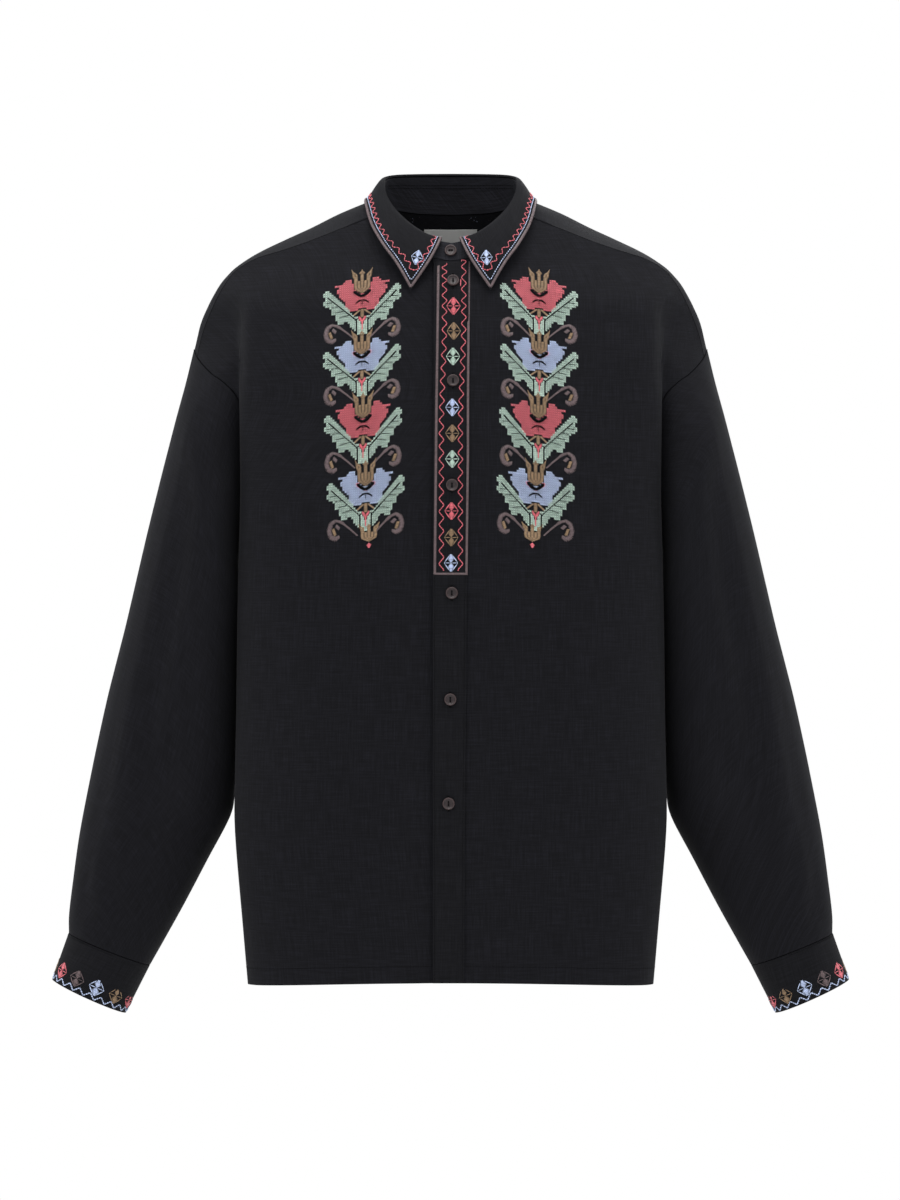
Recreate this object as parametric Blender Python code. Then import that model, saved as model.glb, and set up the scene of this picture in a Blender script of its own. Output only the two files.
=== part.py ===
import bpy
import math
from mathutils import Vector
from mathutils.bvhtree import BVHTree

# Sizes in millimetres, heights above the hem; the part's origin is at the neck
MM = 0.001
NECK_HEIGHT = 762.0
CLOTH = 1.3
BAND = 2.2
SEAM_GAP = 0.15
INNER_GAP = 1.1
LAYER_GAP = 0.5
SLEEVE_GAP = 0.6
FOLD_AT = 0.80
LAP_OVER = 17.0
LAP_UNDER = 14.0

# Front, half of each section: centre, the upright fold, the hollow behind it, the seam, and roundness
FRONT_COLUMNS = ("zc", "yc", "xe", "ye", "ze", "xv", "yv", "xs", "ys", "zs", "n")
FRONT = [
    (9.5, -136.0, 196.2, -60, 4.2, 194.7, -28, 190.0, 0, 0, 2.7),
    (65, -136.5, 201.2, -60, 62, 199.2, -28, 194.5, 0, 60, 2.7),
    (152, -137.0, 208.6, -60, 151, 206.2, -28, 201.0, 0, 150, 2.7),
    (260, -137.0, 207.5, -60, 260, 205.0, -28, 200.0, 0, 260, 2.7),
    (375, -135.5, 206.0, -60, 375, 201.5, -28, 196.5, 0, 375, 2.7),
    (470, -132.5, 203.5, -62, 470, 193.5, -34, 190.0, 0, 470, 2.6),
    (522, -128.0, 203.5, -68, 512, 195.0, -54, 193.0, -36, 500, 2.5),
    (572, -121.0, 204.0, -73, 560, 201.5, -64, 202.0, -58, 560, 2.35),
    (617, -112.5, 204.5, -71.5, 600, 206.0, -61, 216.5, -57, 583, 2.2),
    (648, -104.0, 205.0, -65, 630, 211.0, -54, 231.0, -48, 594, 2.1),
    (676, -94.0, 208.0, -52, 660, 217.0, -43, 241.0, -35, 604, 2.0),
]
ARMPIT_ROW = 5

# Neck seam, from the centre front to the centre back; the front ends at the row named
NECK = [
    (0, -82, 702), (25, -79, 707), (48, -68, 718), (65, -54, 734), (77, -36, 748),
    (81, -17, 759), (79, 3, 766), (72, 26, 765), (58, 47, 761), (36, 61, 758), (0, 68, 757),
]
NECK_SHOULDER = 4

# Forward shoulder seam, from the neck to the armhole
SHOULDER_SEAM = [
    (77, -36, 748), (107, -39, 736), (144.6, -38, 721.3), (176, -33, 711.5), (197.6, -28, 704.6),
    (209.7, -25, 696), (222, -23, 680), (232.8, -22, 659), (241.7, -21, 636), (247.5, -20, 612.5),
]

# Yoke over the shoulder: the ridge, then the lines behind it, each from the neck outward
YOKE_LINES = [
    [(79, 3, 766), (92.7, 3, 762.4), (111, 3, 752.6), (140.6, 4, 738), (173, 4, 723),
     (198.5, 4, 708.5), (216, 3, 694), (228, 2, 679), (242.6, 1, 650), (251, 1, 621)],
    [(72, 26, 765), (105, 36, 748), (140, 44, 729), (172, 49, 706), (198, 52, 680),
     (219, 53, 645), (237, 47, 597)],
    [(58, 47, 761), (98, 66, 733), (130, 78, 697), (150, 86, 660), (165, 88, 627)],
    [(36, 61, 758), (52, 80, 726), (68, 94, 690), (85, 106, 648)],
    [(0, 68, 757), (0, 84, 727), (0, 98, 693), (0, 112, 655)],
]

# Back, half of each section: the seam at the side or armhole, the centre, and roundness
BACK_COLUMNS = ("xs", "ys", "zs", "yc", "zc", "n")
BACK = [
    (190.0, 0, 0, 130, 0, 2.3),
    (194.5, 0, 60, 129, 60, 2.3),
    (201.0, 0, 150, 128, 150, 2.3),
    (200.0, 0, 260, 128, 260, 2.3),
    (196.5, 0, 375, 131, 375, 2.3),
    (190.0, 0, 470, 133, 470, 2.25),
    (194.0, 31, 497, 132, 524, 2.1),
    (202.5, 50, 534, 128, 574, 1.95),
    (217.0, 56, 570, 121, 615, 1.8),
    (237.0, 47, 597, 112, 655, 1.7),
]

# Sleeve sections, from the armhole to the cuff: inner and outer end, half depth, middle depth,
# roundness of the inner and outer half, and the long trough on the front: place and depth
SLEEVE_COLUMNS = ("xi", "zi", "xo", "zo", "depth", "y", "ni", "no", "at", "trough")
SLEEVE = [
    (205.0, 425, 264.0, 569, 83, -1, 3.2, 2.3, 0.66, 0.0),
    (204.0, 372, 278.0, 516, 85, -1, 3.2, 2.3, 0.66, 2.0),
    (206.0, 318, 297.0, 440, 84, -1, 3.2, 2.3, 0.67, 5.0),
    (207.5, 262, 318.0, 350, 80, -2, 3.2, 2.3, 0.65, 7.0),
    (209.5, 210, 336.0, 279, 74, -3, 3.0, 2.3, 0.62, 7.5),
    (216.0, 163, 351.5, 207, 66, -4, 2.6, 2.2, 0.55, 6.5),
    (237.4, 122, 362.8, 148, 57, -6, 2.3, 2.2, 0.44, 5.0),
    (259.4, 80, 369.6, 99, 49, -7, 2.2, 2.2, 0.33, 4.0),
    (277.6, 47, 373.2, 68, 42, -8, 2.2, 2.2, 0.28, 2.5),
    (293.8, 18.6, 373.4, 50, 37.5, -8, 2.2, 2.2, 0.28, 0.0),
]
SLEEVE_BETWEEN = [1, 1, 2, 2, 2, 2, 1, 1, 1, 1]

# Cuff: its seam with the sleeve, and its edge
CUFF_TOP = (294.2, 17.8, 373.8, 49.2, 37.5, -8)
CUFF_EDGE = (317.6, -28.4, 389.6, 4.4, 36.5, -9)
CUFF_OPENS = 215.0
CUFF_OVERLAP = 20.0

# Collar: top of the stand, and the leaf's edge from its point to the centre back
STAND_TOP = [
    (0, -73, 720), (18, -71, 724), (30, -65.5, 730), (43, -56, 740), (55, -40, 753),
    (63, -20, 767), (66, 5, 783), (61, 30, 790), (39, 49, 793), (0, 57, 794),
]
LEAF_FRONT = [(6.0, -77, 726), (14.2, -86, 711.4), (22.4, -93, 697), (38.5, -100, 673.1)]
LEAF_EDGE = [
    (38.5, -100, 673.1), (44.5, -98, 684), (51.8, -91, 697.8), (65.2, -80, 716.4), (78, -50, 740),
    (82.5, -18, 759), (83, 6, 765.5), (78, 36, 759), (65, 57, 751), (40, 75, 748), (0, 83, 747),
]

# Buttons: across, thick, and their heights down the front
BUTTON_ACROSS = 11.5
BUTTON_THICK = 2.7
HOLE_APART = 3.5
HOLE_ACROSS = 1.6
STAND_BUTTON = (0.0, 711.6)
FRONT_BUTTONS = [(2.3, 681.7), (2.3, 584.8), (1.3, 484.6), (1.1, 381.7), (-0.3, 280.2), (-2.0, 181.0)]
PLACKET_HALF = 16.6
PLACKET_MIDDLE = [(702, 0.6), (575, 0.4), (400, -0.9), (150, -3.0), (0, -3.6)]

# Label inside the back of the neck
LABEL_HALF = 26.4
LABEL_TOP = 744.0
LABEL_FOOT = 722.0

INK = (0.012, 0.011, 0.013, 1.0)
BROWN = (0.07, 0.04, 0.04, 1.0)
WHITE = (0.8, 0.8, 0.78, 1.0)


for old in list(bpy.data.objects):
    bpy.data.objects.remove(old, do_unlink=True)
cutters = bpy.data.collections.new("cutters")
bpy.context.scene.collection.children.link(cutters)


def named(columns, row):
    return dict(zip(columns, row))


def along(points, count, fractions=None):
    # Even or given shares of a curve drawn smoothly through the points
    dense = []
    last = len(points) - 1
    for i in range(last):
        p0 = points[max(i - 1, 0)]
        p1 = points[i]
        p2 = points[i + 1]
        p3 = points[min(i + 2, last)]
        for k in range(12):
            dense.append(between(p0, p1, p2, p3, k / 12))
    dense.append(points[last])
    return shares(dense, count, fractions)


def between(p0, p1, p2, p3, t):
    # Catmull-Rom with end points repeated as straight runs
    a = p0 if p0 is not p1 else p1 * 2 - p2
    d = p3 if p3 is not p2 else p2 * 2 - p1
    return 0.5 * (p1 * 2 + (p2 - a) * t + (a * 2 - p1 * 5 + p2 * 4 - d) * t * t
                  + (p1 * 3 - a - p2 * 3 + d) * t * t * t)


def shares(dense, count, fractions=None):
    run = [0.0]
    for p, q in zip(dense, dense[1:]):
        run.append(run[-1] + (q - p).length)
    wanted = fractions or [k / (count - 1) for k in range(count)]
    result = []
    i = 0
    for f in wanted:
        target = f * run[-1]
        while i < len(run) - 2 and run[i + 1] < target:
            i += 1
        step = max(run[i + 1] - run[i], 1e-9)
        result.append(dense[i].lerp(dense[i + 1], min(max((target - run[i]) / step, 0.0), 1.0)))
    return result


def power(value, exponent):
    return math.copysign(abs(value) ** exponent, value)


def vectors(rows):
    return [Vector(row) for row in rows]


def throughRows(rows, counts):
    # Extra rows between the control rows, drawn smoothly down each column
    result = []
    last = len(rows) - 1
    for i in range(last):
        for k in range(counts[i]):
            t = k / counts[i]
            row = []
            for j in range(len(rows[i])):
                row.append(between(rows[max(i - 1, 0)][j], rows[i][j], rows[i + 1][j],
                                   rows[min(i + 2, last)][j], t))
            result.append(row)
    result.append(list(rows[last]))
    return result


def toWorld(point):
    return Vector((point.x * MM, point.y * MM, (point.z - NECK_HEIGHT) * MM))


def drawIn(grid, sides, gap):
    # Stop short of the seams named: first and last row, first and last column
    rows = [list(row) for row in grid]
    if "bottom" in sides:
        rows[0] = [p + (q - p).normalized() * gap for p, q in zip(grid[0], grid[1])]
    if "top" in sides:
        rows[-1] = [p + (q - p).normalized() * gap for p, q in zip(grid[-1], grid[-2])]
    for row in rows:
        if "start" in sides:
            row[0] = row[0] + (row[1] - row[0]).normalized() * gap
        if "end" in sides:
            row[-1] = row[-1] + (row[-2] - row[-1]).normalized() * gap
    return rows


def gridNormals(grid, closed):
    count = len(grid)
    width = len(grid[0])
    normals = []
    for i in range(count):
        row = []
        for j in range(width):
            up = grid[min(i + 1, count - 1)][j] - grid[max(i - 1, 0)][j]
            if closed:
                across = grid[i][(j + 1) % width] - grid[i][j - 1]
            else:
                across = grid[i][min(j + 1, width - 1)] - grid[i][max(j - 1, 0)]
            row.append(across.cross(up).normalized())
        normals.append(row)
    return normals


def moved(grid, distance, closed=False, level=False):
    # Level pieces are thickened sideways only
    normals = gridNormals(grid, closed)
    if level:
        normals = [[Vector((n.x, n.y, 0)).normalized() for n in row] for row in normals]
    return [[p + n * distance for p, n in zip(row, nrow)] for row, nrow in zip(grid, normals)]


def treeOf(grids):
    points = []
    faces = []
    for grid in grids:
        base = len(points)
        width = len(grid[0])
        for row in grid:
            points.extend(row)
        for i in range(len(grid) - 1):
            for j in range(width - 1):
                a = base + i * width + j
                faces.append((a, a + 1, a + width + 1, a + width))
    return BVHTree.FromPolygons(points, faces)


def makeObject(name, points, faces, colour, roughness):
    mesh = bpy.data.meshes.new(name)
    mesh.from_pydata([toWorld(p) for p in points], [], faces)
    mesh.validate()
    material = bpy.data.materials.new(name + "_material")
    material.use_nodes = True
    shader = material.node_tree.nodes["Principled BSDF"]
    shader.inputs["Base Color"].default_value = colour
    shader.inputs["Roughness"].default_value = roughness
    mesh.materials.append(material)
    obj = bpy.data.objects.new(name, mesh)
    collection = bpy.data.collections.new(name)
    bpy.context.scene.collection.children.link(collection)
    collection.objects.link(obj)
    for polygon in mesh.polygons:
        polygon.use_smooth = True
    return obj


def wall(name, grid, thick, sides=(), colour=INK, closed=False, level=False):
    # A sheet of cloth with two faces and its cut edges; the grid is the outer face
    inner = drawIn(moved(grid, -thick, closed, level), sides, INNER_GAP)
    grid = drawIn(grid, sides, SEAM_GAP)
    rows = len(grid)
    width = len(grid[0])
    points = [p for row in grid for p in row] + [p for row in inner for p in row]
    shift = rows * width
    spans = width if closed else width - 1
    faces = []
    for i in range(rows - 1):
        for j in range(spans):
            a = i * width + j
            b = i * width + (j + 1) % width
            c = b + width
            d = a + width
            faces.append((a, b, c, d))
            faces.append((d + shift, c + shift, b + shift, a + shift))
    for j in range(spans):
        a = j
        b = (j + 1) % width
        faces.append((a + shift, b + shift, b, a))
        a += (rows - 1) * width
        b += (rows - 1) * width
        faces.append((a, b, b + shift, a + shift))
    if not closed:
        for i in range(rows - 1):
            a = i * width
            faces.append((a, a + width, a + width + shift, a + shift))
            a += width - 1
            faces.append((a + shift, a + width + shift, a + width, a))
    return makeObject(name, points, faces, colour, 0.9)


# Fronts
FRONT_SHARES = [0.12, 0.21, 0.306, 0.40, 0.49, 0.58, 0.66, 0.73, 0.77, 0.80, 0.83, 0.87, 0.93, 1.0]
NECK_SHARE = 2


def frontLine(row):
    r = named(FRONT_COLUMNS, row)
    arc = []
    for k in range(61):
        a = math.radians(90 * k / 60)
        x = r["xe"] * power(math.sin(a), 2 / r["n"])
        y = r["ye"] + (r["yc"] - r["ye"]) * power(math.cos(a), 2 / r["n"])
        z = r["zc"] + (r["ze"] - r["zc"]) * (x / r["xe"]) ** 2
        arc.append(Vector((x, y, z)))
    tail = vectors([
        (r["xe"], r["ye"], r["ze"]),
        (r["xv"], r["yv"], (r["ze"] + r["zs"]) / 2),
        (r["xs"], r["ys"], r["zs"]),
    ])
    front = [f / FOLD_AT for f in FRONT_SHARES if f <= FOLD_AT]
    rear = [(f - FOLD_AT) / (1 - FOLD_AT) for f in FRONT_SHARES if f > FOLD_AT]
    return shares(arc, 0, front) + along(tail, 0, rear), arc


def topLine():
    neck = vectors(NECK[:NECK_SHOULDER + 1])
    nearNeck = [f / FRONT_SHARES[NECK_SHARE] for f in FRONT_SHARES[:NECK_SHARE]]
    rest = [(f - FRONT_SHARES[NECK_SHARE]) / (1 - FRONT_SHARES[NECK_SHARE])
            for f in FRONT_SHARES[NECK_SHARE:]]
    return along(neck, 0, nearNeck) + along(vectors(SHOULDER_SEAM), 0, rest)


def atX(arc, x):
    for p, q in zip(arc, arc[1:]):
        if q.x >= x:
            return p.lerp(q, (x - p.x) / (q.x - p.x))
    return arc[-1]


def frontRows(lap, shift):
    # One front for the +X side; lap is how far it passes the centre, shift how deep it lies there
    rows = []
    neck = along(vectors(NECK[:NECK_SHOULDER + 1]), 60)
    for i in range(len(FRONT) + 1):
        if i < len(FRONT):
            line, arc = frontLine(FRONT[i])
        else:
            line, arc = topLine(), neck
        past = atX(arc, lap)
        head = [Vector((-past.x, past.y, past.z)), Vector((0, arc[0].y, arc[0].z)), atX(arc, 19.0)]
        for p in head:
            p.y += shift
        rows.append(head + line)
    return rows


lowRows = [1, 1, 2, 2, 2]
armRows = [2, 2, 2, 2, 1, 1]
frontCounts = lowRows + armRows
leftRows = throughRows(frontRows(LAP_OVER, 0.0), frontCounts)
rightRows = throughRows(frontRows(LAP_UNDER, CLOTH + LAYER_GAP), frontCounts)
armStart = sum(lowRows)
for rows in (leftRows, rightRows):
    for row in rows[:armStart]:
        row[-1].y = 0.0
armFront = [row[-1].copy() for row in leftRows[armStart:]]
seamTop = [p.copy() for p in leftRows[-1][-(len(FRONT_SHARES) - NECK_SHARE):]]


# Back
BACK_SHARES = [0.0, 0.08, 0.19, 0.33, 0.47, 0.61, 0.75, 0.88, 1.0]


def backLine(row):
    r = named(BACK_COLUMNS, row)
    arc = []
    for k in range(61):
        a = math.radians(90 * k / 60)
        x = r["xs"] * power(math.cos(a), 2 / r["n"])
        y = r["ys"] + (r["yc"] - r["ys"]) * power(math.sin(a), 2 / r["n"])
        z = r["zc"] + (r["zs"] - r["zc"]) * (x / r["xs"]) ** 2
        arc.append(Vector((x, y, z)))
    return shares(arc, 0, BACK_SHARES)


backCounts = lowRows + [2, 2, 2, 2]
halfBack = throughRows([backLine(row) for row in BACK], backCounts)
for row in halfBack[:armStart]:
    row[0].y = 0.0
armBack = [row[0].copy() for row in halfBack[armStart:]]
backRows = [row + [Vector((-p.x, p.y, p.z)) for p in reversed(row[:-1])] for row in halfBack]


# Yoke, in lines from the neck outward
YOKE_STEPS = [2, 2, 2, 3, 3]
ARM_STEPS = 4
outShares = [(f - FRONT_SHARES[NECK_SHARE]) / (1 - FRONT_SHARES[NECK_SHARE])
             for f in FRONT_SHARES[NECK_SHARE:]]
yokeLines = [seamTop] + [along(vectors(line), 0, outShares) for line in YOKE_LINES]
armTop = along([armFront[-1], Vector((251, 1, 621)), Vector((248, 25, 615)), armBack[-1]], ARM_STEPS + 1)
yokeHalf = throughRows(yokeLines, YOKE_STEPS)
backSeam = halfBack[-1]
for i in range(len(yokeHalf)):
    if i <= ARM_STEPS:
        yokeHalf[i][-1] = armTop[i].copy()
    else:
        yokeHalf[i][-1] = backSeam[i - ARM_STEPS].copy()
yokeHalf[1][0] = Vector(NECK[NECK_SHOULDER + 1])
yokeRows = yokeHalf + [[Vector((-p.x, p.y, p.z)) for p in row] for row in reversed(yokeHalf[:-1])]


# Sleeves
loop = armFront[:-1] + armTop[:-1] + list(reversed(armBack))[:-1]
loopRun = [0.0]
for p, q in zip(loop, loop[1:] + loop[:1]):
    loopRun.append(loopRun[-1] + (q - p).length)
loopShares = [run / loopRun[-1] for run in loopRun[:-1]]
armAxis = Vector((151.0, 0.0, -56.0)).normalized()


def ringPoints(r, fractions, first=0.0):
    inner = Vector((r["xi"], r["y"], r["zi"]))
    outer = Vector((r["xo"], r["y"], r["zo"]))
    middle = (inner + outer) / 2
    half = (outer - inner) / 2
    dense = []
    for k in range(181):
        a = math.radians(2 * k + first)
        n = r["ni"] if math.cos(a) > 0 else r["no"]
        dense.append(middle - half * power(math.cos(a), 2 / n)
                     + Vector((0, -r["depth"] * power(math.sin(a), 2 / n), 0)))
    return shares(dense, 0, fractions)


def sleeveRing(row):
    r = named(SLEEVE_COLUMNS, row)
    ring = ringPoints(r, loopShares)
    middle = Vector(((r["xi"] + r["xo"]) / 2, r["y"], (r["zi"] + r["zo"]) / 2))
    result = []
    for p, f in zip(ring, loopShares):
        across = (p.x - r["xi"]) / (r["xo"] - r["xi"])
        dip = r["trough"] * math.exp(-((across - r["at"]) / 0.16) ** 2) if f < 0.5 else 0.0
        result.append(p + (middle - p).normalized() * dip)
    return result


sleeveRings = [[p + armAxis * SLEEVE_GAP for p in loop]] + [sleeveRing(row) for row in SLEEVE]
sleeveRows = throughRows(sleeveRings, SLEEVE_BETWEEN)
sleeveRows = [list(reversed(row)) for row in sleeveRows]


# Cuffs, open at the back with one end over the other
def cuffRows(top, edge):
    rows = []
    turns = [CUFF_OPENS + (360.0 + CUFF_OVERLAP) * k / 30 for k in range(31)]
    for t in (0.0, 0.5, 1.0):
        v = [a + (b - a) * t for a, b in zip(top, edge)]
        inner = Vector((v[0], v[5], v[1]))
        outer = Vector((v[2], v[5], v[3]))
        middle = (inner + outer) / 2
        half = (outer - inner) / 2
        row = []
        for turn in turns:
            a = math.radians(turn)
            p = middle - half * math.cos(a) + Vector((0, -v[4] * math.sin(a), 0))
            under = min(max((CUFF_OPENS + CUFF_OVERLAP + 30 - turn) / 26, 0.0), 1.0)
            row.append(p + (middle - p).normalized() * (BAND + LAYER_GAP) * under)
        rows.append(list(reversed(row)))
    return rows


# Collar stand, with its ends lapped at the front
def loopOf(half):
    return half + [Vector((-p.x, p.y, p.z)) for p in reversed(half[:-1])]


def passed(line, distance):
    # The point this far along a line that starts at the centre front
    run = 0.0
    for p, q in zip(line, line[1:]):
        run += (q - p).length
        if run >= distance:
            return q.copy()
    return line[-1].copy()


def otherSide(point):
    return Vector((-point.x, point.y, point.z))


neckLoop = loopOf(along(vectors(NECK), 60))
topLoop = loopOf(along(vectors(STAND_TOP), 60))
standShares = [k / 34 for k in range(35)]
standRows = []
for source in (neckLoop, topLoop):
    deep = Vector((0, BAND + LAYER_GAP, 0))
    core = shares(source, 0, standShares)
    row = [otherSide(passed(source, LAP_OVER))] + core[:-3]
    row.append(otherSide(passed(source, LAP_OVER + 10.0)))
    row.append(otherSide(passed(source, LAP_OVER + 2.5)) + deep)
    row.append(source[0] + deep)
    row.append(passed(source, LAP_UNDER) + deep)
    standRows.append(row)
standRows[0] = [p + (q - p).normalized() * 1.6 for p, q in zip(*standRows)]
bulge = [(p + q) / 2 + Vector((p.x, p.y, 0)).normalized() * 0.8 for p, q in zip(*standRows)]
standRows = [standRows[0], bulge, standRows[1]]


# Collar leaf, from the fold over the stand to its edge
LEAF_COUNT = 17
bodyTree = treeOf([leftRows, [[otherSide(p) for p in reversed(row)] for row in leftRows],
                   [list(row) for row in zip(*yokeRows)]])
standTree = treeOf([standRows])


def clearOf(point, distance):
    # Push a point out until it stands this far off the body and the collar stand
    for turn in range(3):
        for tree in (standTree, bodyTree):
            spot, normal, index, gap = tree.find_nearest(point)
            outward = Vector((spot.x, spot.y, 12.0)).normalized()
            if normal.dot(outward) < 0:
                normal = -normal
            side = (point - spot).dot(normal)
            if side < distance:
                point = point + normal * (distance - side)
    return point


def leafHalf():
    edge = along(vectors(LEAF_EDGE), LEAF_COUNT)
    full = along(vectors(STAND_TOP), 80)
    crest = [p for p in full if p.x > 6.0 or p.y > 0]
    crest = shares(crest, LEAF_COUNT)
    rows = []
    for k in range(LEAF_COUNT):
        c = crest[k]
        out = Vector((c.x, c.y, 0)).normalized()
        top = c - out * 1.0 + Vector((0, 0, 3.3))
        roll = c + out * 3.6 + Vector((0, 0, 1.6))
        e = edge[k]
        lift = (top.z - e.z)
        mids = []
        for t, push in ((0.3, 3.0), (0.65, 3.0)):
            m = roll.lerp(e, t) + out * push * min(lift / 40.0, 1.0)
            mids.append(m)
        line = [top, roll] + mids + [e]
        if k == 0:
            line = [top, roll] + vectors(LEAF_FRONT)[1:]
        rows.append(line[:2] + [clearOf(p, BAND + 1.5) for p in line[2:]])
    return rows


leafSide = leafHalf()
leafRays = leafSide + [[Vector((-p.x, p.y, p.z)) for p in ray] for ray in reversed(leafSide[:-1])]
leafRows = [list(row) for row in zip(*leafRays)]
leafRows.reverse()


# Placket, laid on the front that laps over
frontTree = treeOf([leftRows])


def onFront(x, z, out):
    spot, normal, index, gap = frontTree.ray_cast(Vector((x, -400, z)), Vector((0, 1, 0)))
    if spot is None:
        spot, normal, index, gap = frontTree.find_nearest(Vector((x, -90, z)))
    if normal.y > 0:
        normal = -normal
    return spot + normal * out, normal


def placketMiddle(z):
    for (z1, x1), (z0, x0) in zip(PLACKET_MIDDLE, PLACKET_MIDDLE[1:]):
        if z >= z0:
            return x0 + (x1 - x0) * min((z - z0) / (z1 - z0), 1.0)
    return PLACKET_MIDDLE[-1][1]


placketRows = []
placketHeights = [10.0, 34, 60, 105, 150, 205, 260, 317, 375, 422, 470, 496,
                  522, 547, 572, 594, 617, 632, 648, 662, 676, 689, 700.5]
for z in placketHeights:
    mid = placketMiddle(z)
    row = []
    for x in (mid - PLACKET_HALF, mid, mid + PLACKET_HALF):
        row.append(onFront(x, z, CLOTH + 0.35)[0])
    placketRows.append(row)


# Label, hung inside the yoke below the neck seam
yokeTree = treeOf([yokeRows])
labelRows = []
for z in (LABEL_FOOT, (LABEL_FOOT + LABEL_TOP) / 2, LABEL_TOP):
    row = []
    for k in range(9):
        x = LABEL_HALF * (1 - k / 4)
        spot, normal, index, gap = yokeTree.ray_cast(Vector((x, 0, z)), Vector((0, 1, 0)))
        if normal.y > 0:
            normal = -normal
        row.append(spot + normal * (CLOTH + 0.4))
    labelRows.append(row)


def turned(profile, count, place, name, colour, roughness):
    # A closed turned shape: its profile starts and ends on the axis
    points = [place(0, 0, profile[0][1])]
    for radius, height in profile[1:-1]:
        for k in range(count):
            a = 2 * math.pi * k / count
            points.append(place(radius * math.cos(a), radius * math.sin(a), height))
    points.append(place(0, 0, profile[-1][1]))
    faces = []
    rings = len(profile) - 2
    for k in range(count):
        faces.append((0, 1 + (k + 1) % count, 1 + k))
        for i in range(rings - 1):
            a = 1 + i * count + k
            b = 1 + i * count + (k + 1) % count
            faces.append((a, b, b + count, a + count))
        base = 1 + (rings - 1) * count
        faces.append((base + k, base + (k + 1) % count, len(points) - 1))
    return makeObject(name, points, faces, colour, roughness)


def button(name, centre, normal, upright):
    # A turned disc with a raised rim, bored with two holes
    away = normal.normalized()
    side = upright.cross(away).normalized()
    top = away.cross(side).normalized()
    half = BUTTON_ACROSS / 2
    thick = BUTTON_THICK

    def place(x, y, z):
        return centre + side * x + top * y + away * z

    profile = [(0, 0), (half * 0.7, 0), (half, thick * 0.3), (half, thick * 0.8),
               (half * 0.9, thick), (half * 0.74, thick * 0.9), (half * 0.62, thick * 0.62),
               (0, thick * 0.62)]
    disc = turned(profile, 14, place, name, BROWN, 0.45)
    for hole, sign in (("upper", 1), ("lower", -1)):
        def bore(x, y, z, shift=sign * HOLE_APART / 2):
            return place(x, y + shift, z)

        rod = [(0, -1.0), (HOLE_ACROSS / 2, -1.0), (HOLE_ACROSS / 2, thick + 1.0), (0, thick + 1.0)]
        cutter = turned(rod, 6, bore, name + "_" + hole + "_hole", BROWN, 0.5)
        old = cutter.users_collection[0]
        old.objects.unlink(cutter)
        bpy.data.collections.remove(old)
        cutters.objects.link(cutter)
        cutter.hide_render = True
        cutter.display_type = "WIRE"
        cut = disc.modifiers.new(hole, "BOOLEAN")
        cut.operation = "DIFFERENCE"
        cut.solver = "EXACT"
        cut.object = cutter


def mirrorGrid(grid):
    return [[Vector((-p.x, p.y, p.z)) for p in reversed(row)] for row in grid]


wall("front_left", leftRows, CLOTH, ("top", "end"))
wall("front_right", mirrorGrid(rightRows), CLOTH, ("top", "start"))
wall("back", backRows, CLOTH, ("top", "start", "end"))
wall("yoke", [list(row) for row in zip(*yokeRows)][::-1], CLOTH, ("bottom", "start", "end"))
wall("placket", placketRows, CLOTH)
wall("sleeve_left", sleeveRows, CLOTH, closed=True)
wall("sleeve_right", mirrorGrid(sleeveRows), CLOTH, closed=True)
cuff = cuffRows(CUFF_TOP, CUFF_EDGE)
wall("cuff_left", cuff, BAND)
wall("cuff_right", mirrorGrid(cuff), BAND)
wall("collar_stand", standRows, BAND, level=True)
wall("collar_leaf", leafRows, BAND)
wall("label", labelRows, 0.6, colour=WHITE)

# Buttons: the stand's lies with its holes level, the others upright
UP = Vector((0, 0, 1))
placketTree = treeOf([placketRows])
spot, normal, index, gap = standTree.ray_cast(Vector((0, -400, STAND_BUTTON[1])), Vector((0, 1, 0)))
normal = normal if normal.y < 0 else -normal
button("button_stand", spot + normal * 0.4, normal, Vector((1, 0, 0)))
for k, (x, z) in enumerate(FRONT_BUTTONS):
    spot, normal, index, gap = placketTree.ray_cast(Vector((x, -400, z)), Vector((0, 1, 0)))
    normal = normal if normal.y < 0 else -normal
    button("button_%d" % (k + 1), spot + normal * 0.4, normal, UP)


# Cuff buttons, near the end that laps over
spot = cuff[1][0].lerp(cuff[1][1], 0.77)
along_cuff = (cuff[2][0] - cuff[0][0]).normalized()
round_cuff = (cuff[1][1] - cuff[1][0]).normalized()
away = round_cuff.cross(along_cuff).normalized()
middle = sum((p for p in cuff[1]), Vector()) / len(cuff[1])
away = away if away.dot(spot - middle) > 0 else -away
button("cuff_button_left", spot + away * 0.6, away, round_cuff)
button("cuff_button_right", otherSide(spot + away * 0.6), otherSide(away), otherSide(round_cuff))
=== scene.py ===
import bpy
import math
import random
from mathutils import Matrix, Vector
from mathutils.bvhtree import BVHTree
from mathutils.geometry import delaunay_2d_cdt


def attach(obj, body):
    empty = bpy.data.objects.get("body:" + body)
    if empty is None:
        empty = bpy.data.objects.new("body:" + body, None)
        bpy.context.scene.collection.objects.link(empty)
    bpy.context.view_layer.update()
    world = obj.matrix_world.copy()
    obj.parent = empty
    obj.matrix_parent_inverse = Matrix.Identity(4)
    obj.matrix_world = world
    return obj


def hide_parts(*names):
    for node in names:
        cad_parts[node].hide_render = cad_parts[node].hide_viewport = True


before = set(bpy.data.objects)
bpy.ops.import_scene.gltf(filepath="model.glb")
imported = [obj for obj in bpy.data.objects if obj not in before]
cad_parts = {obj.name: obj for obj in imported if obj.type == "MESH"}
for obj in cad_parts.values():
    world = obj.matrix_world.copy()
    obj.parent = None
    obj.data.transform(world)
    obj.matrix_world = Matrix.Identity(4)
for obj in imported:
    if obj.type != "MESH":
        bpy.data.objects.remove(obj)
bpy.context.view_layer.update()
dice = random.Random(7)

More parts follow.
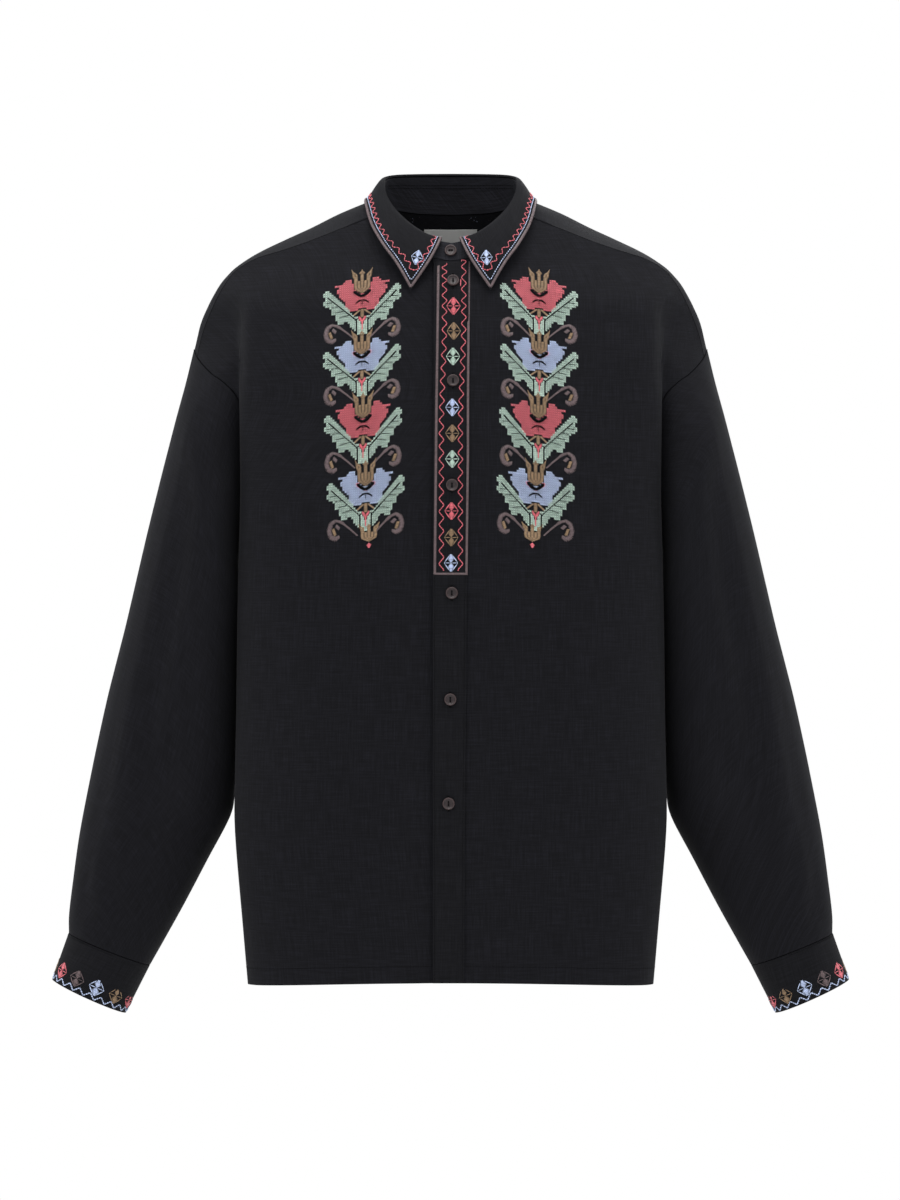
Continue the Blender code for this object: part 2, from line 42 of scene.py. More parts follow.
# Sizes in millimetres, heights above the hem; the part's origin is at the neck
MM = 0.001
NECK_HEIGHT = 762.0
CLOTH = 1.3
BAND = 2.2
SEAM_GAP = 0.15
INNER_GAP = 1.1
LAYER_GAP = 0.5
SLEEVE_GAP = 0.6
FOLD_AT = 0.80
LAP_OVER = 17.0
LAP_UNDER = 14.0

# Front, half of each section: centre, the upright fold, the hollow behind it, the seam, and roundness
FRONT_COLUMNS = ("zc", "yc", "xe", "ye", "ze", "xv", "yv", "xs", "ys", "zs", "n")
FRONT = [
    (9.5, -136.0, 196.2, -60, 4.2, 194.7, -28, 190.0, 0, 0, 2.7),
    (65, -136.5, 201.2, -60, 62, 199.2, -28, 194.5, 0, 60, 2.7),
    (152, -137.0, 208.6, -60, 151, 206.2, -28, 201.0, 0, 150, 2.7),
    (260, -137.0, 207.5, -60, 260, 205.0, -28, 200.0, 0, 260, 2.7),
    (375, -135.5, 206.0, -60, 375, 201.5, -28, 196.5, 0, 375, 2.7),
    (470, -132.5, 203.5, -62, 470, 193.5, -34, 190.0, 0, 470, 2.6),
    (522, -128.0, 203.5, -68, 512, 195.0, -54, 193.0, -36, 500, 2.5),
    (572, -121.0, 204.0, -73, 560, 201.5, -64, 202.0, -58, 560, 2.35),
    (617, -112.5, 204.5, -71.5, 600, 206.0, -61, 216.5, -57, 583, 2.2),
    (648, -104.0, 205.0, -65, 630, 211.0, -54, 231.0, -48, 594, 2.1),
    (676, -94.0, 208.0, -52, 660, 217.0, -43, 241.0, -35, 604, 2.0),
]

# Neck seam, from the centre front to the centre back; the front ends at the row named
NECK = [
    (0, -82, 702), (25, -79, 707), (48, -68, 718), (65, -54, 734), (77, -36, 748),
    (81, -17, 759), (79, 3, 766), (72, 26, 765), (58, 47, 761), (36, 61, 758), (0, 68, 757),
]
NECK_SHOULDER = 4

# Forward shoulder seam, from the neck to the armhole
SHOULDER_SEAM = [
    (77, -36, 748), (107, -39, 736), (144.6, -38, 721.3), (176, -33, 711.5), (197.6, -28, 704.6),
    (209.7, -25, 696), (222, -23, 680), (232.8, -22, 659), (241.7, -21, 636), (247.5, -20, 612.5),
]

# Yoke over the shoulder: the ridge, then the lines behind it, each from the neck outward
YOKE_LINES = [
    [(79, 3, 766), (92.7, 3, 762.4), (111, 3, 752.6), (140.6, 4, 738), (173, 4, 723),
     (198.5, 4, 708.5), (216, 3, 694), (228, 2, 679), (242.6, 1, 650), (251, 1, 621)],
    [(72, 26, 765), (105, 36, 748), (140, 44, 729), (172, 49, 706), (198, 52, 680),
     (219, 53, 645), (237, 47, 597)],
    [(58, 47, 761), (98, 66, 733), (130, 78, 697), (150, 86, 660), (165, 88, 627)],
    [(36, 61, 758), (52, 80, 726), (68, 94, 690), (85, 106, 648)],
    [(0, 68, 757), (0, 84, 727), (0, 98, 693), (0, 112, 655)],
]

# Back, half of each section: the seam at the side or armhole, the centre, and roundness
BACK_COLUMNS = ("xs", "ys", "zs", "yc", "zc", "n")
BACK = [
    (190.0, 0, 0, 130, 0, 2.3),
    (194.5, 0, 60, 129, 60, 2.3),
    (201.0, 0, 150, 128, 150, 2.3),
    (200.0, 0, 260, 128, 260, 2.3),
    (196.5, 0, 375, 131, 375, 2.3),
    (190.0, 0, 470, 133, 470, 2.25),
    (194.0, 31, 497, 132, 524, 2.1),
    (202.5, 50, 534, 128, 574, 1.95),
    (217.0, 56, 570, 121, 615, 1.8),
    (237.0, 47, 597, 112, 655, 1.7),
]

# Sleeve sections, from the armhole to the cuff: inner and outer end, half depth, middle depth,
# roundness of the inner and outer half, and the long trough on the front: place and depth
SLEEVE_COLUMNS = ("xi", "zi", "xo", "zo", "depth", "y", "ni", "no", "at", "trough")
SLEEVE = [
    (205.0, 425, 264.0, 569, 83, -1, 3.2, 2.3, 0.66, 0.0),
    (204.0, 372, 278.0, 516, 85, -1, 3.2, 2.3, 0.66, 2.0),
    (206.0, 318, 297.0, 440, 84, -1, 3.2, 2.3, 0.67, 5.0),
    (207.5, 262, 318.0, 350, 80, -2, 3.2, 2.3, 0.65, 7.0),
    (209.5, 210, 336.0, 279, 74, -3, 3.0, 2.3, 0.62, 7.5),
    (216.0, 163, 351.5, 207, 66, -4, 2.6, 2.2, 0.55, 6.5),
    (237.4, 122, 362.8, 148, 57, -6, 2.3, 2.2, 0.44, 5.0),
    (259.4, 80, 369.6, 99, 49, -7, 2.2, 2.2, 0.33, 4.0),
    (277.6, 47, 373.2, 68, 42, -8, 2.2, 2.2, 0.28, 2.5),
    (293.8, 18.6, 373.4, 50, 37.5, -8, 2.2, 2.2, 0.28, 0.0),
]
SLEEVE_BETWEEN = [1, 1, 2, 2, 2, 2, 1, 1, 1, 1]

# Cuff: its seam with the sleeve, and its edge
CUFF_TOP = (294.2, 17.8, 373.8, 49.2, 37.5, -8)
CUFF_EDGE = (317.6, -28.4, 389.6, 4.4, 36.5, -9)
CUFF_OPENS = 215.0
CUFF_OVERLAP = 20.0

# Collar: top of the stand, and the leaf's edge from its point to the centre back
STAND_TOP = [
    (0, -73, 720), (18, -71, 724), (30, -65.5, 730), (43, -56, 740), (55, -40, 753),
    (63, -20, 767), (66, 5, 783), (61, 30, 790), (39, 49, 793), (0, 57, 794),
]
LEAF_FRONT = [(6.0, -77, 726), (14.2, -86, 711.4), (22.4, -93, 697), (38.5, -100, 673.1)]
LEAF_EDGE = [
    (38.5, -100, 673.1), (44.5, -98, 684), (51.8, -91, 697.8), (65.2, -80, 716.4), (78, -50, 740),
    (82.5, -18, 759), (83, 6, 765.5), (78, 36, 759), (65, 57, 751), (40, 75, 748), (0, 83, 747),
]

# Buttons: across, thick, and their heights down the front
BUTTON_ACROSS = 11.5
BUTTON_THICK = 2.7
HOLE_APART = 3.5
HOLE_ACROSS = 1.6
STAND_BUTTON = (0.0, 711.6)
FRONT_BUTTONS = [(2.3, 681.7), (2.3, 584.8), (1.3, 484.6), (1.1, 381.7), (-0.3, 280.2), (-2.0, 181.0)]
PLACKET_HALF = 16.6
PLACKET_MIDDLE = [(702, 0.6), (575, 0.4), (400, -0.9), (150, -3.0), (0, -3.6)]

# Label inside the back of the neck
LABEL_HALF = 26.4
LABEL_TOP = 744.0
LABEL_FOOT = 722.0


def named(columns, row):
    return dict(zip(columns, row))


def along(points, count, fractions=None):
    # Even or given shares of a curve drawn smoothly through the points
    dense = []
    last = len(points) - 1
    for i in range(last):
        p0 = points[max(i - 1, 0)]
        p1 = points[i]
        p2 = points[i + 1]
        p3 = points[min(i + 2, last)]
        for k in range(12):
            dense.append(between(p0, p1, p2, p3, k / 12))
    dense.append(points[last])
    return shares(dense, count, fractions)


def between(p0, p1, p2, p3, t):
    # Catmull-Rom with end points repeated as straight runs
    a = p0 if p0 is not p1 else p1 * 2 - p2
    d = p3 if p3 is not p2 else p2 * 2 - p1
    return 0.5 * (p1 * 2 + (p2 - a) * t + (a * 2 - p1 * 5 + p2 * 4 - d) * t * t
                  + (p1 * 3 - a - p2 * 3 + d) * t * t * t)


def shares(dense, count, fractions=None):
    run = [0.0]
    for p, q in zip(dense, dense[1:]):
        run.append(run[-1] + (q - p).length)
    wanted = fractions or [k / (count - 1) for k in range(count)]
    result = []
    i = 0
    for f in wanted:
        target = f * run[-1]
        while i < len(run) - 2 and run[i + 1] < target:
            i += 1
        step = max(run[i + 1] - run[i], 1e-9)
        result.append(dense[i].lerp(dense[i + 1], min(max((target - run[i]) / step, 0.0), 1.0)))
    return result


def power(value, exponent):
    return math.copysign(abs(value) ** exponent, value)


def vectors(rows):
    return [Vector(row) for row in rows]


def throughRows(rows, counts):
    # Extra rows between the control rows, drawn smoothly down each column
    result = []
    last = len(rows) - 1
    for i in range(last):
        for k in range(counts[i]):
            t = k / counts[i]
            row = []
            for j in range(len(rows[i])):
                row.append(between(rows[max(i - 1, 0)][j], rows[i][j], rows[i + 1][j],
                                   rows[min(i + 2, last)][j], t))
            result.append(row)
    result.append(list(rows[last]))
    return result


def toWorld(point):
    return Vector((point.x * MM, point.y * MM, (point.z - NECK_HEIGHT) * MM))


def drawIn(grid, sides, gap):
    # Stop short of the seams named: first and last row, first and last column
    rows = [list(row) for row in grid]
    if "bottom" in sides:
        rows[0] = [p + (q - p).normalized() * gap for p, q in zip(grid[0], grid[1])]
    if "top" in sides:
        rows[-1] = [p + (q - p).normalized() * gap for p, q in zip(grid[-1], grid[-2])]
    for row in rows:
        if "start" in sides:
            row[0] = row[0] + (row[1] - row[0]).normalized() * gap
        if "end" in sides:
            row[-1] = row[-1] + (row[-2] - row[-1]).normalized() * gap
    return rows


def gridNormals(grid, closed):
    count = len(grid)
    width = len(grid[0])
    normals = []
    for i in range(count):
        row = []
        for j in range(width):
            up = grid[min(i + 1, count - 1)][j] - grid[max(i - 1, 0)][j]
            if closed:
                across = grid[i][(j + 1) % width] - grid[i][j - 1]
            else:
                across = grid[i][min(j + 1, width - 1)] - grid[i][max(j - 1, 0)]
            row.append(across.cross(up).normalized())
        normals.append(row)
    return normals


def moved(grid, distance, closed=False, level=False):
    # Level pieces are thickened sideways only
    normals = gridNormals(grid, closed)
    if level:
        normals = [[Vector((n.x, n.y, 0)).normalized() for n in row] for row in normals]
    return [[p + n * distance for p, n in zip(row, nrow)] for row, nrow in zip(grid, normals)]


def treeOf(grids):
    points = []
    faces = []
    for grid in grids:
        base = len(points)
        width = len(grid[0])
        for row in grid:
            points.extend(row)
        for i in range(len(grid) - 1):
            for j in range(width - 1):
                a = base + i * width + j
                faces.append((a, a + 1, a + width + 1, a + width))
    return BVHTree.FromPolygons(points, faces)


# Fronts
FRONT_SHARES = [0.12, 0.21, 0.306, 0.40, 0.49, 0.58, 0.66, 0.73, 0.77, 0.80, 0.83, 0.87, 0.93, 1.0]
NECK_SHARE = 2


def frontLine(row):
    r = named(FRONT_COLUMNS, row)
    arc = []
    for k in range(61):
        a = math.radians(90 * k / 60)
        x = r["xe"] * power(math.sin(a), 2 / r["n"])
        y = r["ye"] + (r["yc"] - r["ye"]) * power(math.cos(a), 2 / r["n"])
        z = r["zc"] + (r["ze"] - r["zc"]) * (x / r["xe"]) ** 2
        arc.append(Vector((x, y, z)))
    tail = vectors([
        (r["xe"], r["ye"], r["ze"]),
        (r["xv"], r["yv"], (r["ze"] + r["zs"]) / 2),
        (r["xs"], r["ys"], r["zs"]),
    ])
    front = [f / FOLD_AT for f in FRONT_SHARES if f <= FOLD_AT]
    rear = [(f - FOLD_AT) / (1 - FOLD_AT) for f in FRONT_SHARES if f > FOLD_AT]
    return shares(arc, 0, front) + along(tail, 0, rear), arc


def topLine():
    neck = vectors(NECK[:NECK_SHOULDER + 1])
    nearNeck = [f / FRONT_SHARES[NECK_SHARE] for f in FRONT_SHARES[:NECK_SHARE]]
    rest = [(f - FRONT_SHARES[NECK_SHARE]) / (1 - FRONT_SHARES[NECK_SHARE])
            for f in FRONT_SHARES[NECK_SHARE:]]
    return along(neck, 0, nearNeck) + along(vectors(SHOULDER_SEAM), 0, rest)


def atX(arc, x):
    for p, q in zip(arc, arc[1:]):
        if q.x >= x:
            return p.lerp(q, (x - p.x) / (q.x - p.x))
    return arc[-1]


def frontRows(lap, shift):
    # One front for the +X side; lap is how far it passes the centre, shift how deep it lies there
    rows = []
    neck = along(vectors(NECK[:NECK_SHOULDER + 1]), 60)
    for i in range(len(FRONT) + 1):
        if i < len(FRONT):
            line, arc = frontLine(FRONT[i])
        else:
            line, arc = topLine(), neck
        past = atX(arc, lap)
        head = [Vector((-past.x, past.y, past.z)), Vector((0, arc[0].y, arc[0].z)), atX(arc, 19.0)]
        for p in head:
            p.y += shift
        rows.append(head + line)
    return rows


lowRows = [1, 1, 2, 2, 2]
armRows = [2, 2, 2, 2, 1, 1]
frontCounts = lowRows + armRows
leftRows = throughRows(frontRows(LAP_OVER, 0.0), frontCounts)
rightRows = throughRows(frontRows(LAP_UNDER, CLOTH + LAYER_GAP), frontCounts)
armStart = sum(lowRows)
for rows in (leftRows, rightRows):
    for row in rows[:armStart]:
        row[-1].y = 0.0
armFront = [row[-1].copy() for row in leftRows[armStart:]]
seamTop = [p.copy() for p in leftRows[-1][-(len(FRONT_SHARES) - NECK_SHARE):]]


# Back
BACK_SHARES = [0.0, 0.08, 0.19, 0.33, 0.47, 0.61, 0.75, 0.88, 1.0]


def backLine(row):
    r = named(BACK_COLUMNS, row)
    arc = []
    for k in range(61):
        a = math.radians(90 * k / 60)
        x = r["xs"] * power(math.cos(a), 2 / r["n"])
        y = r["ys"] + (r["yc"] - r["ys"]) * power(math.sin(a), 2 / r["n"])
        z = r["zc"] + (r["zs"] - r["zc"]) * (x / r["xs"]) ** 2
        arc.append(Vector((x, y, z)))
    return shares(arc, 0, BACK_SHARES)


backCounts = lowRows + [2, 2, 2, 2]
halfBack = throughRows([backLine(row) for row in BACK], backCounts)
for row in halfBack[:armStart]:
    row[0].y = 0.0
armBack = [row[0].copy() for row in halfBack[armStart:]]
backRows = [row + [Vector((-p.x, p.y, p.z)) for p in reversed(row[:-1])] for row in halfBack]


# Yoke, in lines from the neck outward
YOKE_STEPS = [2, 2, 2, 3, 3]
ARM_STEPS = 4
outShares = [(f - FRONT_SHARES[NECK_SHARE]) / (1 - FRONT_SHARES[NECK_SHARE])
             for f in FRONT_SHARES[NECK_SHARE:]]
yokeLines = [seamTop] + [along(vectors(line), 0, outShares) for line in YOKE_LINES]
armTop = along([armFront[-1], Vector((251, 1, 621)), Vector((248, 25, 615)), armBack[-1]], ARM_STEPS + 1)
yokeHalf = throughRows(yokeLines, YOKE_STEPS)
backSeam = halfBack[-1]
for i in range(len(yokeHalf)):
    if i <= ARM_STEPS:
        yokeHalf[i][-1] = armTop[i].copy()
    else:
        yokeHalf[i][-1] = backSeam[i - ARM_STEPS].copy()
yokeHalf[1][0] = Vector(NECK[NECK_SHOULDER + 1])
yokeRows = yokeHalf + [[Vector((-p.x, p.y, p.z)) for p in row] for row in reversed(yokeHalf[:-1])]


# Sleeves
loop = armFront[:-1] + armTop[:-1] + list(reversed(armBack))[:-1]
loopRun = [0.0]
for p, q in zip(loop, loop[1:] + loop[:1]):
    loopRun.append(loopRun[-1] + (q - p).length)
loopShares = [run / loopRun[-1] for run in loopRun[:-1]]
armAxis = Vector((151.0, 0.0, -56.0)).normalized()


def ringPoints(r, fractions, first=0.0):
    inner = Vector((r["xi"], r["y"], r["zi"]))
    outer = Vector((r["xo"], r["y"], r["zo"]))
    middle = (inner + outer) / 2
    half = (outer - inner) / 2
    dense = []
    for k in range(181):
        a = math.radians(2 * k + first)
        n = r["ni"] if math.cos(a) > 0 else r["no"]
        dense.append(middle - half * power(math.cos(a), 2 / n)
                     + Vector((0, -r["depth"] * power(math.sin(a), 2 / n), 0)))
    return shares(dense, 0, fractions)


def sleeveRing(row):
    r = named(SLEEVE_COLUMNS, row)
    ring = ringPoints(r, loopShares)
    middle = Vector(((r["xi"] + r["xo"]) / 2, r["y"], (r["zi"] + r["zo"]) / 2))
    result = []
    for p, f in zip(ring, loopShares):
        across = (p.x - r["xi"]) / (r["xo"] - r["xi"])
        dip = r["trough"] * math.exp(-((across - r["at"]) / 0.16) ** 2) if f < 0.5 else 0.0
        result.append(p + (middle - p).normalized() * dip)
    return result


sleeveRings = [[p + armAxis * SLEEVE_GAP for p in loop]] + [sleeveRing(row) for row in SLEEVE]
sleeveRows = throughRows(sleeveRings, SLEEVE_BETWEEN)
sleeveRows = [list(reversed(row)) for row in sleeveRows]


# Cuffs, open at the back with one end over the other
def cuffRows(top, edge):
    rows = []
    turns = [CUFF_OPENS + (360.0 + CUFF_OVERLAP) * k / 30 for k in range(31)]
    for t in (0.0, 0.5, 1.0):
        v = [a + (b - a) * t for a, b in zip(top, edge)]
        inner = Vector((v[0], v[5], v[1]))
        outer = Vector((v[2], v[5], v[3]))
        middle = (inner + outer) / 2
        half = (outer - inner) / 2
        row = []
        for turn in turns:
            a = math.radians(turn)
            p = middle - half * math.cos(a) + Vector((0, -v[4] * math.sin(a), 0))
            under = min(max((CUFF_OPENS + CUFF_OVERLAP + 30 - turn) / 26, 0.0), 1.0)
            row.append(p + (middle - p).normalized() * (BAND + LAYER_GAP) * under)
        rows.append(list(reversed(row)))
    return rows


# Collar stand, with its ends lapped at the front
def loopOf(half):
    return half + [Vector((-p.x, p.y, p.z)) for p in reversed(half[:-1])]


def passed(line, distance):
    # The point this far along a line that starts at the centre front
    run = 0.0
    for p, q in zip(line, line[1:]):
        run += (q - p).length
        if run >= distance:
            return q.copy()
    return line[-1].copy()


def otherSide(point):
    return Vector((-point.x, point.y, point.z))


neckLoop = loopOf(along(vectors(NECK), 60))
topLoop = loopOf(along(vectors(STAND_TOP), 60))
standShares = [k / 34 for k in range(35)]
standRows = []
for source in (neckLoop, topLoop):
    deep = Vector((0, BAND + LAYER_GAP, 0))
    core = shares(source, 0, standShares)
    row = [otherSide(passed(source, LAP_OVER))] + core[:-3]
    row.append(otherSide(passed(source, LAP_OVER + 10.0)))
    row.append(otherSide(passed(source, LAP_OVER + 2.5)) + deep)
    row.append(source[0] + deep)
    row.append(passed(source, LAP_UNDER) + deep)
    standRows.append(row)
standRows[0] = [p + (q - p).normalized() * 1.6 for p, q in zip(*standRows)]
bulge = [(p + q) / 2 + Vector((p.x, p.y, 0)).normalized() * 0.8 for p, q in zip(*standRows)]
standRows = [standRows[0], bulge, standRows[1]]


# Collar leaf, from the fold over the stand to its edge
LEAF_COUNT = 17
bodyTree = treeOf([leftRows, [[otherSide(p) for p in reversed(row)] for row in leftRows],
                   [list(row) for row in zip(*yokeRows)]])
standTree = treeOf([standRows])


def clearOf(point, distance):
    # Push a point out until it stands this far off the body and the collar stand
    for turn in range(3):
        for tree in (standTree, bodyTree):
            spot, normal, index, gap = tree.find_nearest(point)
            outward = Vector((spot.x, spot.y, 12.0)).normalized()
            if normal.dot(outward) < 0:
                normal = -normal
            side = (point - spot).dot(normal)
            if side < distance:
                point = point + normal * (distance - side)
    return point


def leafHalf():
    edge = along(vectors(LEAF_EDGE), LEAF_COUNT)
    full = along(vectors(STAND_TOP), 80)
    crest = [p for p in full if p.x > 6.0 or p.y > 0]
    crest = shares(crest, LEAF_COUNT)
    rows = []
    for k in range(LEAF_COUNT):
        c = crest[k]
        out = Vector((c.x, c.y, 0)).normalized()
        top = c - out * 1.0 + Vector((0, 0, 3.3))
        roll = c + out * 3.6 + Vector((0, 0, 1.6))
        e = edge[k]
        lift = (top.z - e.z)
        mids = []
        for t, push in ((0.3, 3.0), (0.65, 3.0)):
            m = roll.lerp(e, t) + out * push * min(lift / 40.0, 1.0)
            mids.append(m)
        line = [top, roll] + mids + [e]
        if k == 0:
            line = [top, roll] + vectors(LEAF_FRONT)[1:]
        rows.append(line[:2] + [clearOf(p, BAND + 1.5) for p in line[2:]])
    return rows


leafSide = leafHalf()
leafRays = leafSide + [[Vector((-p.x, p.y, p.z)) for p in ray] for ray in reversed(leafSide[:-1])]
leafRows = [list(row) for row in zip(*leafRays)]
leafRows.reverse()


# Placket, laid on the front that laps over
frontTree = treeOf([leftRows])


def onFront(x, z, out):
    spot, normal, index, gap = frontTree.ray_cast(Vector((x, -400, z)), Vector((0, 1, 0)))
    if spot is None:
        spot, normal, index, gap = frontTree.find_nearest(Vector((x, -90, z)))
    if normal.y > 0:
        normal = -normal
    return spot + normal * out, normal


def placketMiddle(z):
    for (z1, x1), (z0, x0) in zip(PLACKET_MIDDLE, PLACKET_MIDDLE[1:]):
        if z >= z0:
            return x0 + (x1 - x0) * min((z - z0) / (z1 - z0), 1.0)
    return PLACKET_MIDDLE[-1][1]


placketRows = []
placketHeights = [10.0, 34, 60, 105, 150, 205, 260, 317, 375, 422, 470, 496,
                  522, 547, 572, 594, 617, 632, 648, 662, 676, 689, 700.5]
for z in placketHeights:
    mid = placketMiddle(z)
    row = []
    for x in (mid - PLACKET_HALF, mid, mid + PLACKET_HALF):
        row.append(onFront(x, z, CLOTH + 0.35)[0])
    placketRows.append(row)


# Label, hung inside the yoke below the neck seam
yokeTree = treeOf([yokeRows])
labelRows = []
for z in (LABEL_FOOT, (LABEL_FOOT + LABEL_TOP) / 2, LABEL_TOP):
    row = []
    for k in range(9):
        x = LABEL_HALF * (1 - k / 4)
        spot, normal, index, gap = yokeTree.ray_cast(Vector((x, 0, z)), Vector((0, 1, 0)))
        if normal.y > 0:
            normal = -normal
        row.append(spot + normal * (CLOTH + 0.4))
    labelRows.append(row)


def mirrorGrid(grid):
    return [[otherSide(p) for p in reversed(row)] for row in grid]


print("stage: forms")

# Finer grids through the same points
def refineLine(line, steps, closed=False):
    count = len(line)
    result = []
    for i in range(count if closed else count - 1):
        if closed:
            four = (line[i - 1], line[i], line[(i + 1) % count], line[(i + 2) % count])
        else:
            four = (line[max(i - 1, 0)], line[i], line[i + 1], line[min(i + 2, count - 1)])
        for k in range(steps):
            result.append(between(*four, k / steps))
    if not closed:
        result.append(line[-1].copy())
    return result


def refine(grid, across, along, closed=False):
    rows = [refineLine(row, across, closed) for row in grid]
    columns = [refineLine(list(column), along) for column in zip(*rows)]
    return [list(row) for row in zip(*columns)]


# Creases: which face, the line in millimetres, half width, depth (minus sinks), fades
BODY_CREASES = [
    ("front", [(205, 560), (204, 618), (204, 654), (209, 682)], 6.5, -2.8, (0.25, 0.3)),
    ("front", [(-205, 560), (-204, 618), (-204, 654), (-209, 684)], 6.5, -2.8, (0.25, 0.3)),
    ("front", [(220, 668), (215, 645), (203, 634)], 5.5, -1.8, (0.4, 0.4)),
    ("front", [(-218, 671), (-214, 645), (-201, 637)], 5.5, -2.0, (0.4, 0.4)),
    ("front", [(62, 300), (56, 210), (66, 110), (60, 20)], 26, -2.6, (0.5, 0.1)),
    ("front", [(-70, 330), (-62, 230), (-70, 120), (-64, 10)], 28, -2.8, (0.5, 0.1)),
    ("front", [(118, 420), (126, 300), (120, 160)], 30, 2.2, (0.4, 0.4)),
    ("front", [(-126, 400), (-120, 280), (-128, 130)], 30, 2.0, (0.4, 0.4)),
    ("front", [(30, 420), (40, 350), (38, 260)], 13, 1.6, (0.4, 0.5)),
    ("front", [(-34, 405), (-40, 330), (-36, 250)], 13, 1.5, (0.4, 0.5)),
    ("front", [(165, 610), (150, 560), (120, 520)], 22, -2.4, (0.4, 0.5)),
    ("front", [(-168, 600), (-150, 552), (-118, 516)], 22, -2.2, (0.4, 0.5)),
    ("back", [(60, 640), (54, 480), (64, 300), (56, 60)], 24, -4.0, (0.2, 0.2)),
    ("back", [(-56, 640), (-62, 470), (-52, 290), (-60, 40)], 26, -4.2, (0.2, 0.2)),
    ("back", [(130, 600), (140, 440), (128, 230)], 26, 3.0, (0.3, 0.4)),
    ("back", [(-134, 600), (-126, 420), (-138, 200)], 26, 3.2, (0.3, 0.4)),
    ("back", [(196, 560), (180, 500), (150, 450)], 18, -3.0, (0.4, 0.5)),
    ("back", [(-196, 555), (-178, 492), (-150, 436)], 18, -3.2, (0.4, 0.5)),
]
SLEEVE_CREASES = [
    ("front", [(248, 560), (258, 470), (266, 380), (280, 300)], 15, -3.0, (0.3, 0.4)),
    ("front", [(318, 330), (330, 250), (340, 180), (352, 110)], 12, -2.2, (0.4, 0.4)),
    ("front", [(232, 250), (262, 216), (300, 200)], 13, -2.4, (0.4, 0.5)),
    ("front", [(226, 205), (246, 176), (276, 160)], 11, 2.0, (0.4, 0.5)),
    ("front", [(322, 66), (330, 100), (333, 150)], 8, -2.0, (0.1, 0.6)),
    ("front", [(352, 60), (354, 100), (350, 150)], 7, -1.6, (0.1, 0.6)),
    ("back", [(262, 540), (276, 430), (292, 320), (310, 200)], 16, -4.0, (0.3, 0.3)),
    ("back", [(232, 280), (262, 240), (300, 222)], 14, -3.4, (0.4, 0.5)),
    ("back", [(310, 30), (316, 90), (326, 160)], 8, -3.0, (0.05, 0.5)),
    ("back", [(334, 38), (338, 96), (342, 150)], 7, -3.0, (0.05, 0.5)),
    ("back", [(356, 46), (358, 100), (354, 160)], 7, -2.6, (0.05, 0.5)),
]


def easeIn(t):
    t = min(max(t, 0.0), 1.0)
    return t * t * (3 - 2 * t)


def creased(grid, creases, closed=False):
    normals = gridNormals(grid, closed)
    rows = []
    for row, lines in zip(grid, normals):
        fresh = []
        for p, n in zip(row, lines):
            total = 0.0
            for face, line, wide, deep, fades in creases:
                facing = -n.y if face == "front" else n.y
                if facing < 0.08:
                    continue
                best = None
                for i in range(len(line) - 1):
                    ax, az = line[i]
                    bx, bz = line[i + 1]
                    dx = bx - ax
                    dz = bz - az
                    t = min(max(((p.x - ax) * dx + (p.z - az) * dz) / (dx * dx + dz * dz), 0.0), 1.0)
                    gap = math.hypot(p.x - ax - dx * t, p.z - az - dz * t)
                    if best is None or gap < best[0]:
                        best = (gap, (i + t) / (len(line) - 1))
                gap, t = best
                if gap > wide * 2.6:
                    continue
                fade = easeIn(t / fades[0]) * easeIn((1 - t) / fades[1])
                total += deep * math.exp(-(gap / wide) ** 2) * fade * easeIn(facing * 3)
            fresh.append(p + n * total)
        rows.append(fresh)
    return rows


def sideways(creases):
    return [(face, [(-x, z + 3) for x, z in line], wide, deep * 0.93, fades)
            for face, line, wide, deep, fades in creases]


fineLeft = creased(refine(leftRows, 4, 5), BODY_CREASES)
fineRight = creased(refine(mirrorGrid(rightRows), 4, 5), BODY_CREASES)
fineBack = creased(refine(backRows, 4, 5), BODY_CREASES)
fineYoke = refine([list(row) for row in zip(*yokeRows)][::-1], 4, 4)
fineSleeveLeft = creased(refine(sleeveRows, 4, 6, True), SLEEVE_CREASES, True)
fineSleeveRight = creased(refine(mirrorGrid(sleeveRows), 4, 6, True), sideways(SLEEVE_CREASES), True)
fineCuffLeft = refine(cuffRows(CUFF_TOP, CUFF_EDGE), 4, 5)
fineCuffRight = mirrorGrid(fineCuffLeft)
standFoot = [p + (p - q).normalized() * 1.1 for p, q in zip(standRows[0], standRows[1])]
fineStand = refine([standFoot] + standRows[1:], 4, 4)
fineLeaf = refine(leafRows, 4, 5)
finePlacket = refine(placketRows, 6, 5)


def srgb(hexColour, alpha=1.0):
    channels = [int(hexColour[i:i + 2], 16) / 255 for i in (0, 2, 4)]
    return tuple(c / 12.92 if c <= 0.04045 else ((c + 0.055) / 1.055) ** 2.4 for c in channels) + (alpha,)


def addNode(tree, kind, settings=None, **links):
    # One node, with its settings, and its inputs set or linked by name
    node = tree.nodes.new(kind)
    for key, value in (settings or {}).items():
        setattr(node, key, value)
    for key, value in links.items():
        socket = node.inputs[int(key[1:])] if key[0] == "_" else node.inputs[key.replace("_", " ")]
        if isinstance(value, bpy.types.NodeSocket):
            tree.links.new(value, socket)
        else:
            socket.default_value = value
    return node


def ramp(tree, source, stops):
    node = addNode(tree, "ShaderNodeValToRGB", Fac=source)
    while len(node.color_ramp.elements) < len(stops):
        node.color_ramp.elements.new(0.5)
    for element, (place, colour) in zip(node.color_ramp.elements, stops):
        element.position = place
        element.color = colour
    return node.outputs["Color"]


def newMaterial(name, **values):
    material = bpy.data.materials.new(name)
    material.use_nodes = True
    tree = material.node_tree
    shader = tree.nodes["Principled BSDF"]
    for key, value in values.items():
        shader.inputs[key.replace("_", " ")].default_value = value
    return material, tree, shader


